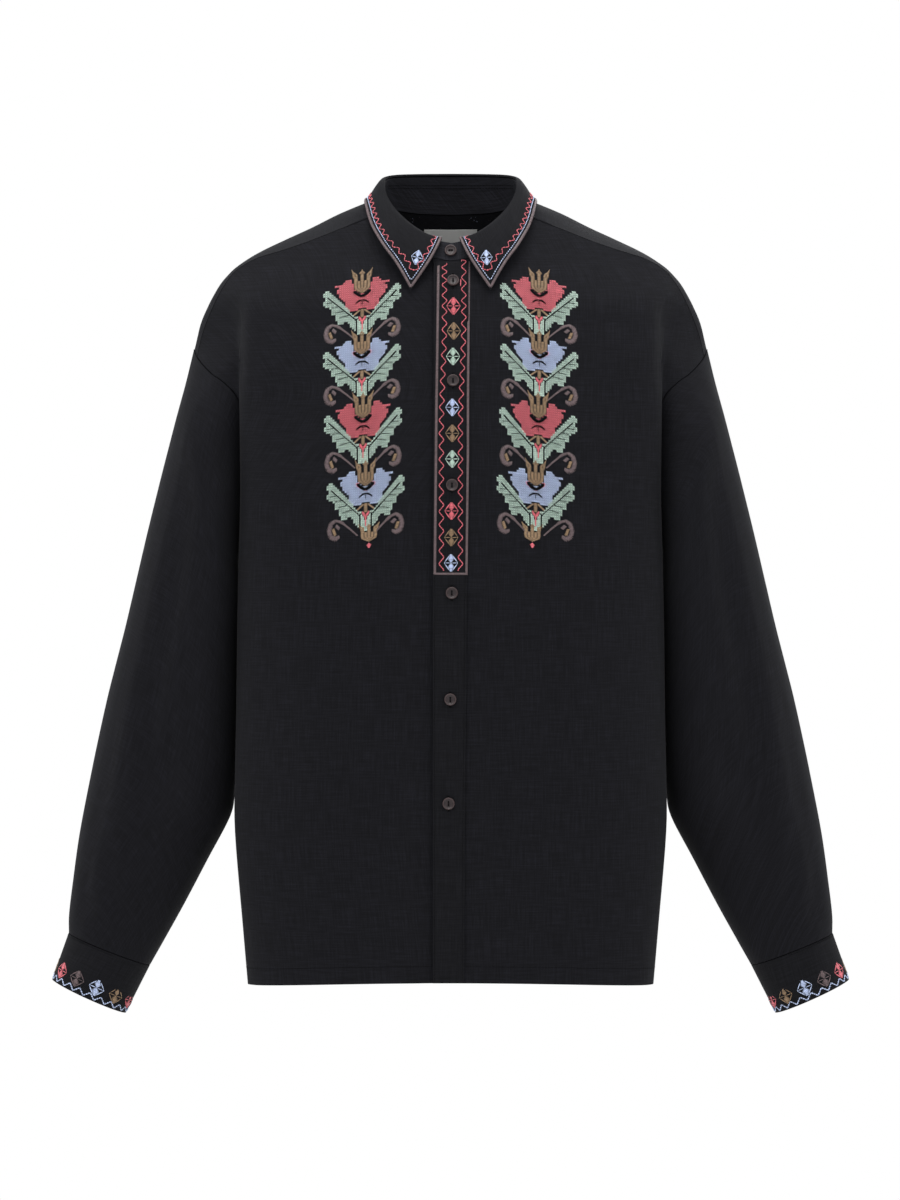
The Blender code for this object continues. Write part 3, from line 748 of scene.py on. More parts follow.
def linen(name, dark, middle, light, fuzz=0.02):
    # Black linen: a plain weave of 0.8 mm threads, with thick slubs; slubs and weave crossings are painted
    # lighter in the colour, partly random tone and partly a painted highlight where they catch the light
    material, tree, shader = newMaterial(name, Roughness=0.88, Sheen_Weight=fuzz, Sheen_Roughness=0.55,
                                         Specular_IOR_Level=0.1)
    uv = addNode(tree, "ShaderNodeUVMap").outputs["UV"]
    slubs = []
    for scale, seed in (((38, 800, 1), 3.0), ((800, 34, 1), 8.0)):
        place = addNode(tree, "ShaderNodeMapping", Vector=uv, Scale=scale, Location=(seed, seed, 0))
        noise = addNode(tree, "ShaderNodeTexNoise", Vector=place.outputs["Vector"], Scale=1.0,
                        Detail=2.0, Roughness=0.6)
        slubs.append(noise.outputs["Fac"])
    both = addNode(tree, "ShaderNodeMath", {"operation": "ADD"}, _0=slubs[0], _1=slubs[1])
    waves = []
    for direction in ("X", "Y"):
        wave = addNode(tree, "ShaderNodeTexWave", {"bands_direction": direction, "wave_profile": "SIN"},
                       Vector=uv, Scale=math.tau / 20 / 0.0007, Distortion=1.0, Detail=1.0)
        waves.append(wave.outputs["Fac"])
    weave = addNode(tree, "ShaderNodeMath", {"operation": "MULTIPLY"}, _0=waves[0], _1=waves[1])
    mix = addNode(tree, "ShaderNodeMath", {"operation": "MULTIPLY_ADD"},
                  _0=weave.outputs[0], _1=0.35, _2=both.outputs[0])
    level = addNode(tree, "ShaderNodeMath", {"operation": "SUBTRACT"}, _0=mix.outputs[0], _1=0.6)
    colour = ramp(tree, level.outputs[0], [(0.28, srgb(dark)), (0.5, srgb(middle)), (0.74, srgb(light))])
    tree.links.new(colour, shader.inputs["Base Color"])
    bump = addNode(tree, "ShaderNodeBump", Height=mix.outputs[0], Strength=0.3, Distance=0.0003)
    tree.links.new(bump.outputs["Normal"], shader.inputs["Normal"])
    return material


def thread(name, colour, rough=0.5, strength=0.9, fuzz=0.2, shine=0.4):
    # Embroidery floss: soft sheen; painted shade where a stitch dips into the cloth and on the under stitch
    # of a cross, a painted highlight where the shade value is high, and each stitch a little lighter or
    # darker at random
    material, tree, shader = newMaterial(name, Roughness=rough, Sheen_Weight=fuzz, Sheen_Roughness=0.4,
                                         Specular_IOR_Level=shine)
    shade = addNode(tree, "ShaderNodeAttribute", {"attribute_name": "shade"})
    base = srgb(colour)
    darker = tuple(c * 0.3 for c in base[:3]) + (1.0,)
    lighter = tuple(min(c * 1.18, 1.0) for c in base[:3]) + (1.0,)
    # The shade value paints light and shade into the colour: 0 is painted shade at 0.3 of the floss colour, 1
    # a painted highlight at 1.18 of it
    tint = ramp(tree, shade.outputs["Fac"], [(0.0, darker), (1.0, lighter)])
    tree.links.new(tint, shader.inputs["Base Color"])
    where = addNode(tree, "ShaderNodeTexCoord").outputs["Object"]
    twist = addNode(tree, "ShaderNodeTexNoise", Vector=where, Scale=2600.0, Detail=1.0)
    bump = addNode(tree, "ShaderNodeBump", Height=twist.outputs["Fac"], Strength=strength * 0.4,
                   Distance=0.0002)
    tree.links.new(bump.outputs["Normal"], shader.inputs["Normal"])
    return material


clothMaterial = linen("black_linen", "101013", "141417", "1B1B20")
bandMaterial = linen("black_linen_bands", "101012", "141417", "1A1A1D")
# The stand's linen is painted lighter than the rest of the black linen: painted light inside the neck, where
# the lamps leave it darker
paintedLightStandMaterial = linen("black_linen_stand_painted_light", "1B1B1E", "212125", "2B2B31")
THREADS = {
    "red": thread("coral_floss", "DF6B75"),
    "blue": thread("light_blue_floss", "BFCDEC"),
    "green": thread("sage_floss", "BED5C5"),
    "tan": thread("tan_floss", "927759"),
    "taupe": thread("taupe_floss", "685758", 0.5),
    "black": thread("black_thread", "0B0B0D", 0.9, fuzz=0.0, shine=0.1),
}


def joined(name, points, faces, material, uvs=None, shades=None):
    mesh = bpy.data.meshes.new(name)
    mesh.from_pydata([toWorld(p) for p in points], [], faces)
    mesh.materials.append(material)
    if uvs:
        layer = mesh.uv_layers.new(name="UVMap")
        layer.data.foreach_set("uv", [c for uv in uvs for c in uv])
    if shades:
        mesh.attributes.new("shade", "FLOAT", "POINT").data.foreach_set("value", shades)
    mesh.polygons.foreach_set("use_smooth", [True] * len(faces))
    mesh.set_sharp_from_angle(angle=math.radians(55))
    obj = bpy.data.objects.new(name, mesh)
    bpy.context.scene.collection.objects.link(obj)
    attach(obj, "root")
    return obj


def runsOf(grid):
    # How far each point lies along its row and down its column, in metres
    across = []
    for row in grid:
        run = [0.0]
        for p, q in zip(row, row[1:]):
            run.append(run[-1] + (q - p).length * MM)
        run.append(run[-1] + (row[0] - row[-1]).length * MM)
        across.append(run)
    along = [[0.0] * (len(grid[0]) + 1)]
    for above, below in zip(grid, grid[1:]):
        columns = zip(along[-1], above + above[:1], below + below[:1])
        along.append([a + (q - p).length * MM for a, p, q in columns])
    return across, along


def shell(name, grid, thick, material, replaces, sides=(), closed=False, level=False, upright=False):
    inner = drawIn(moved(grid, -thick, closed, level), sides, INNER_GAP)
    grid = drawIn(grid, sides, SEAM_GAP)
    across, along = runsOf(grid)
    rows = len(grid)
    width = len(grid[0])
    spans = width if closed else width - 1
    points = [p for row in grid for p in row] + [p for row in inner for p in row]
    shift = rows * width
    faces = []
    uvs = []

    def place(i, j):
        high = grid[i][j % width].z * MM if upright else along[i][j]
        return (across[i][j], high)

    def add(face, spots):
        faces.append(face)
        uvs.extend(place(*spot) for spot in spots)

    for i in range(rows - 1):
        for j in range(spans):
            a = i * width + j
            b = i * width + (j + 1) % width
            spots = [(i, j), (i, j + 1), (i + 1, j + 1), (i + 1, j)]
            add((a, b, b + width, a + width), spots)
            add((a + width + shift, b + width + shift, b + shift, a + shift), spots[::-1])
    for j in range(spans):
        a = j
        b = (j + 1) % width
        add((a + shift, b + shift, b, a), [(0, j), (0, j + 1), (0, j + 1), (0, j)])
        a += (rows - 1) * width
        b += (rows - 1) * width
        last = rows - 1
        add((a, b, b + shift, a + shift), [(last, j), (last, j + 1), (last, j + 1), (last, j)])
    if not closed:
        for i in range(rows - 1):
            a = i * width
            add((a, a + width, a + width + shift, a + shift), [(i, 0), (i + 1, 0), (i + 1, 0), (i, 0)])
            a += width - 1
            j = width - 1
            add((a + shift, a + width + shift, a + width, a), [(i, j), (i + 1, j), (i + 1, j), (i, j)])
    obj = joined(name, points, faces, material, uvs)
    if replaces:
        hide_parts(replaces)
    return obj


# Each cloth piece: its grid, thickness, material, the sides drawn in at a seam, and how its grid runs
SHELLS = {
    "front_left": (fineLeft, 1.0, clothMaterial, ("top", "end"), {"upright": True}),
    "front_right": (fineRight, 1.0, clothMaterial, ("top", "start"), {"upright": True}),
    "back": (fineBack, 1.0, clothMaterial, ("top", "start", "end"), {"upright": True}),
    "yoke": (fineYoke, 1.0, clothMaterial, ("bottom", "start", "end"), {}),
    "sleeve_left": (fineSleeveLeft, 1.0, clothMaterial, (), {"closed": True}),
    "sleeve_right": (fineSleeveRight, 1.0, clothMaterial, (), {"closed": True}),
    "cuff_left": (fineCuffLeft, 2.0, bandMaterial, (), {}),
    "cuff_right": (fineCuffRight, 2.0, bandMaterial, (), {}),
    "collar_stand": (fineStand, 2.0, paintedLightStandMaterial, (), {"level": True}),
    "collar_leaf": (fineLeaf, 2.0, bandMaterial, (), {}),
    "placket": (finePlacket, 1.0, bandMaterial, (), {"upright": True}),
}
for name, (grid, thick, material, sides, how) in SHELLS.items():
    shell("linen_" + name, grid, thick, material, name, sides, **how)

print("stage: camera and lights")
CAMERA_AWAY = 5.0
CAMERA_UP = -0.387
PIXEL = 0.98
camera = bpy.data.objects.new("camera", bpy.data.cameras.new("camera"))
bpy.context.scene.collection.objects.link(camera)
camera.location = (-0.0006, -CAMERA_AWAY, CAMERA_UP)
camera.rotation_euler = (math.pi / 2, 0, 0)
camera.data.lens = 18.0 / (0.6 * PIXEL / CAMERA_AWAY)
camera.data.clip_end = 60
bpy.context.scene.camera = camera
bpy.context.scene.view_settings.view_transform = "Standard"

floorMesh = bpy.data.meshes.new("floor")
ring = [(3.0 * math.cos(a * math.tau / 48), 3.0 * math.sin(a * math.tau / 48), -1.47) for a in range(48)]
floorMesh.from_pydata(ring, [], [tuple(range(48))])
floor = bpy.data.objects.new("floor", floorMesh)
bpy.context.scene.collection.objects.link(floor)
floorMesh.materials.append(newMaterial("pale_floor", Base_Color=srgb("F4F3F1"), Roughness=0.9)[0])

world = bpy.data.worlds.new("studio")
world.use_nodes = True
bpy.context.scene.world = world
studio = world.node_tree
studio.nodes.clear()
path = studio.nodes.new("ShaderNodeLightPath")
seen = addNode(studio, "ShaderNodeBackground", Color=(1, 1, 1, 1), Strength=1.0)
lit = addNode(studio, "ShaderNodeBackground", Color=(0.94, 0.96, 1.0, 1), Strength=0.72)
blend = addNode(studio, "ShaderNodeMixShader", _0=path.outputs["Is Camera Ray"],
                _1=lit.outputs[0], _2=seen.outputs[0])
addNode(studio, "ShaderNodeOutputWorld", Surface=blend.outputs[0])

LIGHTS = [
    ("key_light", (-1.6, -2.2, 1.9), 1.6, 20),
    ("fill_light", (1.8, -2.2, 1.6), 1.8, 14),
    ("top_light", (0.0, -0.5, 2.0), 1.6, 37),
    ("left_edge_light", (-2.4, 0.3, 0.1), 1.2, 13),
    ("right_edge_light", (2.4, 0.3, 0.1), 1.2, 13),
    ("back_light", (0.6, 2.6, 1.5), 1.6, 30),
]
for name, place, size, power_w in LIGHTS:
    lamp = bpy.data.lights.new(name, "AREA")
    lamp.size = size
    lamp.energy = power_w
    lampObject = bpy.data.objects.new(name, lamp)
    lampObject.location = place
    lampObject.rotation_euler = (Vector((0, 0, -0.35)) - Vector(place)).to_track_quat("-Z", "Y").to_euler()
    bpy.context.scene.collection.objects.link(lampObject)

print("stage: stitches")
work = {key: ([], [], []) for key in THREADS}


def strand(colour, path, wide, high, ends=True, shade=None):
    # One raised thread along (point, normal) pairs; its ends dip into the cloth and are painted dark there as
    # painted shade
    points, faces, shades = work[colour]
    base = len(points)
    last = len(path) - 1
    tone = min(max((0.74 if shade is None else shade) + dice.gauss(0, 0.16), 0), 1)
    for i, (p, n) in enumerate(path):
        step = path[min(i + 1, last)][0] - path[max(i - 1, 0)][0]
        side = step.cross(n)
        if side.length < 1e-6:
            side = Vector((1, 0, 0))
        side = side.normalized() * wide / 2
        edge = ends and i in (0, last)
        lift = high * (0.2 if edge else 1.0)
        slim = 0.55 if edge else 1.0
        points.append(p + side * slim - n * 0.05)
        points.append(p + side * slim * 0.6 + n * lift * 0.75)
        points.append(p - side * slim * 0.6 + n * lift * 0.75)
        points.append(p - side * slim - n * 0.05)
        # Painted shade: the dipping ends get 0.22 of the stitch's tone
        shades.extend([tone * 0.22 if edge else tone] * 4)
    for i in range(last):
        a = base + i * 4
        for k in range(3):
            faces.append((a + k, a + k + 4, a + k + 5, a + k + 1))


def stitch(colour, a, b, wide, high, shade=None):
    (p, n), (q, m) = a, b
    path = [a]
    for t in (0.3, 0.7):
        path.append((p.lerp(q, t), n.lerp(m, t).normalized()))
    strand(colour, path + [b], wide, high, True, shade)


def measured(line):
    run = [0.0]
    for a, b in zip(line, line[1:]):
        run.append(run[-1] + (b[0] - a[0]).length)
    return run


def atRun(line, run, target):
    i = 0
    while i < len(run) - 2 and run[i + 1] < target:
        i += 1
    t = min(max((target - run[i]) / max(run[i + 1] - run[i], 1e-9), 0.0), 1.0)
    return line[i][0].lerp(line[i + 1][0], t), line[i][1].lerp(line[i + 1][1], t).normalized()


def evenly(line, pitch):
    run = measured(line)
    count = max(int(round(run[-1] / pitch)), 1)
    return [atRun(line, run, run[-1] * k / count) for k in range(count + 1)]


def running(colour, line, length, gap, wide, high):
    # Running stitch: threads of one length, with a small gap between
    run = measured(line)
    count = max(int(run[-1] / (length + gap)), 1)
    pitch = run[-1] / count
    for k in range(count):
        a = atRun(line, run, k * pitch + gap / 2)
        b = atRun(line, run, (k + 1) * pitch - gap / 2)
        stitch(colour, a, b, wide, high)


def satin(colour, line, width, pitch, high, slant=0.3):
    # Close stitches across a line, each from one side to the other; width may change along it
    spots = evenly(line, pitch)
    last = len(spots) - 1
    for k, (p, n) in enumerate(spots):
        ahead = (spots[min(k + 1, last)][0] - spots[max(k - 1, 0)][0]).normalized()
        side = ahead.cross(n).normalized()
        half = (width(k / last) if callable(width) else width) / 2
        lean = ahead * half * slant
        stitch(colour, (p + side * half + lean, n), (p - side * half - lean, n), pitch * 1.25, high)


def zigzag(colour, line, sway, period, wide, high, phase=0.0, flat=0.22, tree=None):
    # A stepped zigzag: flat at each side, a slope between, two stitches to a slope
    run = measured(line)
    count = max(int(round(run[-1] / period)), 1)
    corners = []
    for k in range(count * 2 + 1):
        for part in (-flat / 2, flat / 2):
            at = (k / 2 + part / 2 + phase) * run[-1] / count
            if 0 <= at <= run[-1]:
                p, n = atRun(line, run, at)
                q, m = atRun(line, run, min(at + 0.5, run[-1]))
                r, m = atRun(line, run, max(at - 0.5, 0))
                side = (q - r).normalized().cross(n).normalized()
                spot = p + side * (sway if k % 2 else -sway)
                if tree:
                    near = tree.find_nearest(spot)
                    spot = near[0]
                corners.append((spot, n))
    for k, (a, b) in enumerate(zip(corners, corners[1:])):
        parts = max(int(round((b[0] - a[0]).length / 2.3)), 1)
        for i in range(parts):
            ends = [(a[0].lerp(b[0], t / parts), a[1].lerp(b[1], t / parts).normalized()) for t in (i, i + 1)]
            stitch(colour, ends[0], ends[1], wide, high)


# Where a place in the picture lies on the cloth
EYE = Vector((-0.6, -CAMERA_AWAY * 1000, CAMERA_UP * 1000 + NECK_HEIGHT))
clothTrees = {
    "fronts": treeOf([fineLeft, fineRight]),
    "placket": treeOf([finePlacket, fineLeft, fineRight]),
    "leaf": treeOf([fineLeaf]),
    "stand": treeOf([fineStand]),
}


def seenAt(px, py, place):
    target = Vector((-0.6 + (px - 450) * PIXEL, 0, EYE.z + (600 - py) * PIXEL))
    p, n, index, gap = clothTrees[place].ray_cast(EYE, (target - EYE).normalized())
    if p is None:
        p, n, index, gap = clothTrees[place].find_nearest(EYE.lerp(target, 0.97))
    return p, (n if n.y < 0 else -n)


def inside(x, y, polygon):
    found = False
    j = len(polygon) - 1
    for i in range(len(polygon)):
        xi, yi = polygon[i]
        xj, yj = polygon[j]
        if (yi > y) != (yj > y) and x < (xj - xi) * (y - yi) / (yj - yi) + xi:
            found = not found
        j = i
    return found


# The flower: half outlines in picture points from the foot of its crown, y up
PETAL = [(0, -1.2), (7.6, 4.2), (8.4, 8), (10.2, 11), (11.2, 13.8), (12.6, 15.2), (16, 15.2), (17.6, 13.6),
         (18.4, 11.2), (23.4, 10.8), (26.9, 11.4), (26.2, 9), (24, 7.4), (25.4, 5.4), (25, 2.6), (23, 0.2),
         (21.5, -2), (18.5, -5.5), (16.6, -8.6), (16.8, -11), (15.2, -13), (14.6, -15.2), (12, -16.6),
         (9.2, -17), (5, -15.8), (0, -14.6)]
CROWN = [(0, 23.6), (1.3, 22), (3.2, 20.2), (1.9, 18.4), (1.9, 12), (4.1, 12), (4.3, 17.6), (5, 19.4),
         (8.4, 22),
         (10.8, 25), (9.7, 17.2), (8.3, 14.3), (8.3, 8), (7.6, 4.5), (3.5, 1.6), (0, 0)]
STALK = [(0, -15.6), (1.9, -16.4), (1.9, -24), (0, -24)]
HEART = [(0, -25.6), (1.2, -24.4), (2.8, -22.9), (4.2, -23.8), (3.4, -26), (1.2, -28.6), (0.8, -30),
         (0.7, -36.4), (0, -36.4)]
STEM = [(0, -25.5), (4.9, -25.5), (4.9, -40.5), (0, -40.5)]
LEAF_SHAPE = [(6.4, -26.6), (5.0, -23.6), (7.4, -21.5), (31.2, 3.3), (34, 5.4), (37.5, 5.2), (38.4, 1.5),
              (36.5, -2.5), (38.2, -5), (37.7, -9), (32.5, -10.5), (31.5, -12.5), (30.6, -17.5), (26.5, -19),
              (26, -24.5), (23, -28.5), (19.5, -28.5), (16.6, -25.8), (13.9, -29), (10.6, -32.7),
              (7.4, -37), (6.4, -41)]
CURL = [(8.5, -44), (15, -38), (21, -33), (25, -30), (30, -28.5), (34.5, -31), (36.5, -37), (35, -42.5),
        (30.5, -45.2), (26.5, -43.5)]
CURL_WIDTH = [(0, 1.6), (0.3, 2.2), (0.36, 3.4), (0.45, 2.6), (0.6, 4.6), (0.75, 4.8), (0.9, 5.4), (1, 3.2)]
MID_RIB = [(34.4, -0.6), (5.7, -26.4), (5.6, -40)]
VEINS = [
    [(29, -6), (36, -6.4)],
    [(23.6, -10.8), (31, -11.3)],
    [(18.6, -15.6), (27, -16.6)],
    [(13, -20.4), (23.5, -22)],
]


def across(table, t):
    for (a, va), (b, vb) in zip(table, table[1:]):
        if t <= b:
            return va + (vb - va) * (t - a) / max(b - a, 1e-9)
    return table[-1][1]


def motif(units, side):
    # One upright column; side is 1 for the picture's left, -1 for its mirror
    def chart(unit, x, y):
        top, foot, axis, stretch = unit
        px = axis + x
        py = foot - y * stretch - 0.12 * x
        return px if side > 0 else 901.2 - px, py

    def spotOf(unit, x, y):
        return seenAt(*chart(unit, x, y), "fronts")

    def fill(unit, colour, shape, cell, wide, high, avoid=()):
        xs = [p[0] for p in shape]
        ys = [p[1] for p in shape]
        cache = {}

        def corner(i, j):
            if (i, j) not in cache:
                cache[(i, j)] = spotOf(unit, i * cell, j * cell)
            return cache[(i, j)]

        reach = int(max(xs) / cell) + 1
        for j in range(int(min(ys) / cell) - 1, int(max(ys) / cell) + 1):
            for i in range(-reach - 1, reach + 1):
                x = (i + 0.5) * cell
                y = (j + 0.5) * cell
                if not inside(abs(x), y, shape):
                    continue
                if any(inside(abs(x), y, other) for other in avoid):
                    continue
                # The under stitch of each cross is painted darker (0.3), painted shade beneath the top stitch
                stitch(colour, corner(i, j + 1), corner(i + 1, j), wide, high * 0.7, 0.3)
                stitch(colour, corner(i, j), corner(i + 1, j + 1), wide, high)

    def fillRows(unit, colour, shape, pitch, high):
        # Level rows of stitches across a half outline and its mirror
        y = min(p[1] for p in shape) + pitch / 2
        while y < max(p[1] for p in shape):
            xs = sorted(ax + (bx - ax) * (y - ay) / (by - ay)
                        for (ax, ay), (bx, by) in zip(shape, shape[1:] + shape[:1]) if (ay > y) != (by > y))
            spans = []
            for a, b in zip(xs[::2], xs[1::2]):
                spans += [(-b, b)] if a < 0.05 else [(a, b), (-b, -a)]
            for a, b in spans:
                parts = max(int(round((b - a) / 3.4)), 1)
                for k in range(parts):
                    ends = [spotOf(unit, a + (b - a) * (k + e) / parts, y + pitch * 0.35 * e) for e in (0, 1)]
                    stitch(colour, *ends, pitch * 1.25, high)
            y += pitch

    def trace(unit, line, step=1.0):
        path = []
        for (ax, ay), (bx, by) in zip(line, line[1:]):
            parts = max(int(math.hypot(bx - ax, by - ay) / step), 1)
            shares = [k / parts for k in range(parts)]
            path += [spotOf(unit, ax + (bx - ax) * t, ay + (by - ay) * t) for t in shares]
        return path + [spotOf(unit, *line[-1])]

    for kind, *unit in units:
        if kind in ("red", "blue"):
            fill(unit, kind, PETAL, 2.1, 0.98, 0.8, avoid=(CROWN,))
            fillRows(unit, "tan", STALK, 0.9, 0.7)
            fill(unit, "green", STEM, 1.7, 1.1, 0.6, avoid=(HEART,))
            fillRows(unit, "red", HEART, 0.85, 1.6)
            fill(unit, "green", LEAF_SHAPE, 2.05, 0.96, 0.75)
            for sign in (-1, 1):
                satin("tan", trace(unit, [(2.6 * sign, -16.6), (8.3 * sign, -21)]), 1.9, 0.8, 0.6)
                for line, wide in [(MID_RIB, 1.4)] + [(vein, 0.85) for vein in VEINS]:
                    path = trace(unit, [(x * sign, y) for x, y in line])
                    running("black", [(p + n * 0.35, n) for p, n in path], 2.6, 0.0, wide, 0.75)
                path = trace(unit, [(8.4 * sign, 2.6), (4.2 * sign, -1.1), (0, -3.4)])
                strand("black", [(p + n * 1.0, n) for p, n in path], 3.0, 0.85)
                path = trace(unit, [(0, -6.8), (3.6 * sign, -7.5), (6.9 * sign, -10)])
                strand("black", [(p + n * 0.5, n) for p, n in path], 1.5, 0.85)
                if kind == "blue":
                    path = trace(unit, [(0, -4.1), (4.6 * sign, -2.2), (9.8 * sign, 1.6), (9.4 * sign, 3.4),
                                        (6.2 * sign, 3)], 0.8)
                    running("red", [(p + n * 0.3, n) for p, n in path], 1.5, 0.3, 0.9, 0.9)
            path = trace(unit, [(0, -6.8), (0, -12)])
            strand("black", [(p + n * 0.4, n) for p, n in path], 0.9, 0.75)
            for sign in (-1, 1):
                path = trace(unit, [(x * sign, y) for x, y in CURL], 0.9)
                satin("taupe", path, lambda t: across(CURL_WIDTH, t), 0.72, 0.7, slant=0.45 * sign * side)
                satin("taupe", trace(unit, [(26.5 * sign, -36), (29.5 * sign, -33.2)]), 3.6, 0.7, 0.7)
                satin("tan", trace(unit, [(30.4 * sign, -41.5), (32.6 * sign, -36)]), 3.2, 0.7, 0.85)
        if kind == "tip":
            fillRows(unit, "red", [(0, -2), (2.6, -4.4), (0.8, -8.5), (0, -8.5)], 0.85, 0.9)
        fillRows(unit, "tan", CROWN, 0.82, 1.0)


UNITS = [
    ("red", 267, 293.4, 362.2, 1.0),
    ("blue", 327.5, 354.4, 361.9, 1.02),
    ("red", 389.4, 418.4, 363.0, 1.1),
    ("blue", 457, 486.0, 365.6, 1.1),
    ("tip", 524, 541.5, 368.9, 0.75),
]
motif(UNITS, 1)
motif(UNITS, -1)


# Small diamonds: an outline, two filled ends, and four windows round a cross
def diamond(colour, spotFor, size=1.0, wide=0.95):
    outline = [(0, 8.1), (1.2, 7.5), (6.1, 0.8), (6.1, -0.8), (1.2, -7.5), (0, -8.1), (-1.2, -7.5),
               (-6.1, -0.8), (-6.1, 0.8), (-1.2, 7.5), (0, 8.1)]
    for (ax, ay), (bx, by) in zip(outline, outline[1:]):
        stitch(colour, spotFor(ax * size, ay * size), spotFor(bx * size, by * size), wide, 0.7)
    for sign in (-1, 1):
        stitch(colour, spotFor(sign * 5.8 * size, 0.1), spotFor(sign * 0.5 * size, 0), 0.75, 0.65)
        rows = 11
        for k in range(rows):
            t = k / (rows - 1)
            y = (0.5 + 6.7 * t) * sign * size
            half = (0.5 + 2.5 * math.sin(min(t / 0.55, 1) * math.pi / 2) - max(t - 0.55, 0) * 4.2) * size
            stitch(colour, spotFor(-half, y), spotFor(half, y + 0.35 * size), 0.8, 0.7)


def placketSpot(cx, cy):
    return lambda x, y: seenAt(cx + x, cy - y, "placket")


PLACKET_DIAMONDS = [("red", 453.5, 306), ("tan", 453.8, 331), ("green", 453, 356.4), ("blue", 452.3, 407.4),
                    ("tan", 452.3, 433.3), ("green", 452.2, 459), ("red", 451.5, 511), ("tan", 451.3, 537.5),
                    ("blue", 451, 563)]
for colour, px, py in PLACKET_DIAMONDS:
    diamond(colour, placketSpot(px, py), 1.04)


def placketLine(table, step=4.0):
    top = table[0][0]
    count = int((table[-1][0] - top) / step)
    heights = [top + (table[-1][0] - top) * k / count for k in range(count + 1)]
    return [seenAt(across(table, py), py, "placket") for py in heights]


# The placket's borders: heights and places in the picture, and width
for border, wide in (([(266, 438.4), (400, 436.5), (573, 434.8)], 2.7),
                     ([(262, 468.9), (400, 467.9), (450, 467.9), (573, 466.4)], 2.5)):
    satin("taupe", placketLine(border), wide, 0.75, 0.7, slant=0.5)
satin("taupe", [seenAt(434 + 33 * k / 8, 573.8, "placket") for k in range(9)], 2.3, 0.75, 0.7, slant=0.5)
# The zigzags: heights of their outer corners, closer together where the chest slopes back
OUTER_CORNERS = [295.3, 305.9, 317.3, 329.6] + [341.9 + 13.05 * k for k in range(18)]
for sign, topX, footX, first, upper in ((-1, 444.5, 441.4, 264.1, [267.8, 275.9, 284.9]),
                                        (1, 463.8, 460.4, 259.3, [261.5, 271.8, 283.2])):
    outers = upper + OUTER_CORNERS
    heights = [(first, -1)]
    for outer, after in zip(outers, outers[1:] + [576.65]):
        heights += [(outer, 1), ((outer + after) / 2, -1)]
    corners = []
    for py, way in heights:
        px = topX + (footX - topX) * easeIn((py - 320) / 110) + sign * way * 2.2
        corners += [seenAt(px, py - 0.7, "placket"), seenAt(px, py + 0.7, "placket")]
    for a, b in zip(corners, corners[1:]):
        parts = 3 if (b[0] - a[0]).length > 3 else 1
        for i in range(parts):
            stitch("red", *[(a[0].lerp(b[0], t), a[1]) for t in (i / parts, (i + 1) / parts)], 1.0, 0.7)


# Collar lines, each a set distance in from the leaf's edge
def onLeaf(u, v):
    i = min(int(u), len(fineLeaf) - 2)
    j = min(int(v), len(fineLeaf[0]) - 2)
    a = fineLeaf[i][j].lerp(fineLeaf[i][j + 1], v - j)
    b = fineLeaf[i + 1][j].lerp(fineLeaf[i + 1][j + 1], v - j)
    return a.lerp(b, u - i)


def lineGap(p, line):
    best = 1e9
    for a, b in zip(line, line[1:]):
        d = b - a
        t = min(max((p - a).dot(d) / d.length_squared, 0.0), 1.0)
        best = min(best, (p - a - d * t).length)
    return best


leafColumns = len(fineLeaf[0]) - 1
leafRowCount = len(fineLeaf) - 1
leafOuter = fineLeaf[0]
leafFirst = [row[0] for row in fineLeaf]
leafLast = [row[-1] for row in fineLeaf]


def leafNormal(p):
    spot, n, index, gap = clothTrees["leaf"].find_nearest(p)
    outward = Vector((p.x, p.y, 20))
    return n if n.dot(outward) > 0 else -n


def leafLine(inset, fromFront=None):
    # Along one front edge, round the outside and back down the other front edge
    def march(spotAt, limit, edge, distance):
        last = None
        for k in range(limit * 6 + 1):
            p = spotAt(k / 6)
            gap = lineGap(p, edge) - distance(p)
            if gap >= 0:
                if last is None:
                    return p
                before, was = last
                return before.lerp(p, -was / max(gap - was, 1e-6))
            last = (p, gap)
        return None

    def fromEdge(p):
        return inset(p) if callable(inset) else inset

    def fromEnd(p):
        return fromFront or inset

    near = 26
    outer = []
    for k in range(leafColumns * 2 + 1):
        v = k / 2
        part = leafOuter[max(int(v) - near, 0):int(v) + near]
        p = march(lambda u: onLeaf(u, v), leafRowCount, part, fromEdge)
        front = min(lineGap(p, leafFirst), lineGap(p, leafLast)) if p else 0
        if p and front >= fromEnd(p):
            outer.append(p)
    ends = []
    for first, edge in ((True, leafFirst), (False, leafLast)):
        side = []
        for k in range(leafRowCount * 4 + 1):
            u = k / 4
            p = march(lambda v: onLeaf(u, v if first else leafColumns - v), 40, edge, fromEnd)
            if p and lineGap(p, leafOuter) >= fromEdge(p) and p.z < 728:
                side.append(p)
        ends.append(side)
    line = list(reversed(ends[0])) + outer + ends[1]
    return [(p, leafNormal(p)) for p in line]


cordLine = leafLine(1.3)
satin("taupe", [(p + n * 0.1, n) for p, n in cordLine], 2.7, 0.8, 0.9, slant=0.5)
running("blue", leafLine(4.6), 2.0, 0.6, 1.0, 0.8)
# The zigzag runs further in near the points than round the neck
zigzag("red", leafLine(lambda p: 10.8 - 3.3 * easeIn((p.z - 700) / 35), 7.2), 1.7, 10.0, 0.9, 0.75, flat=0.3,
       tree=clothTrees["leaf"])
for px, lean in ((417.1, 15), (486.5, -4)):
    def tilted(x, y, px=px, lean=math.radians(lean)):
        return seenAt(px + x * math.cos(lean) + y * math.sin(lean),
                      257.5 - y * math.cos(lean) + x * math.sin(lean), "leaf")

    diamond("blue", tilted, 0.9, 0.75)


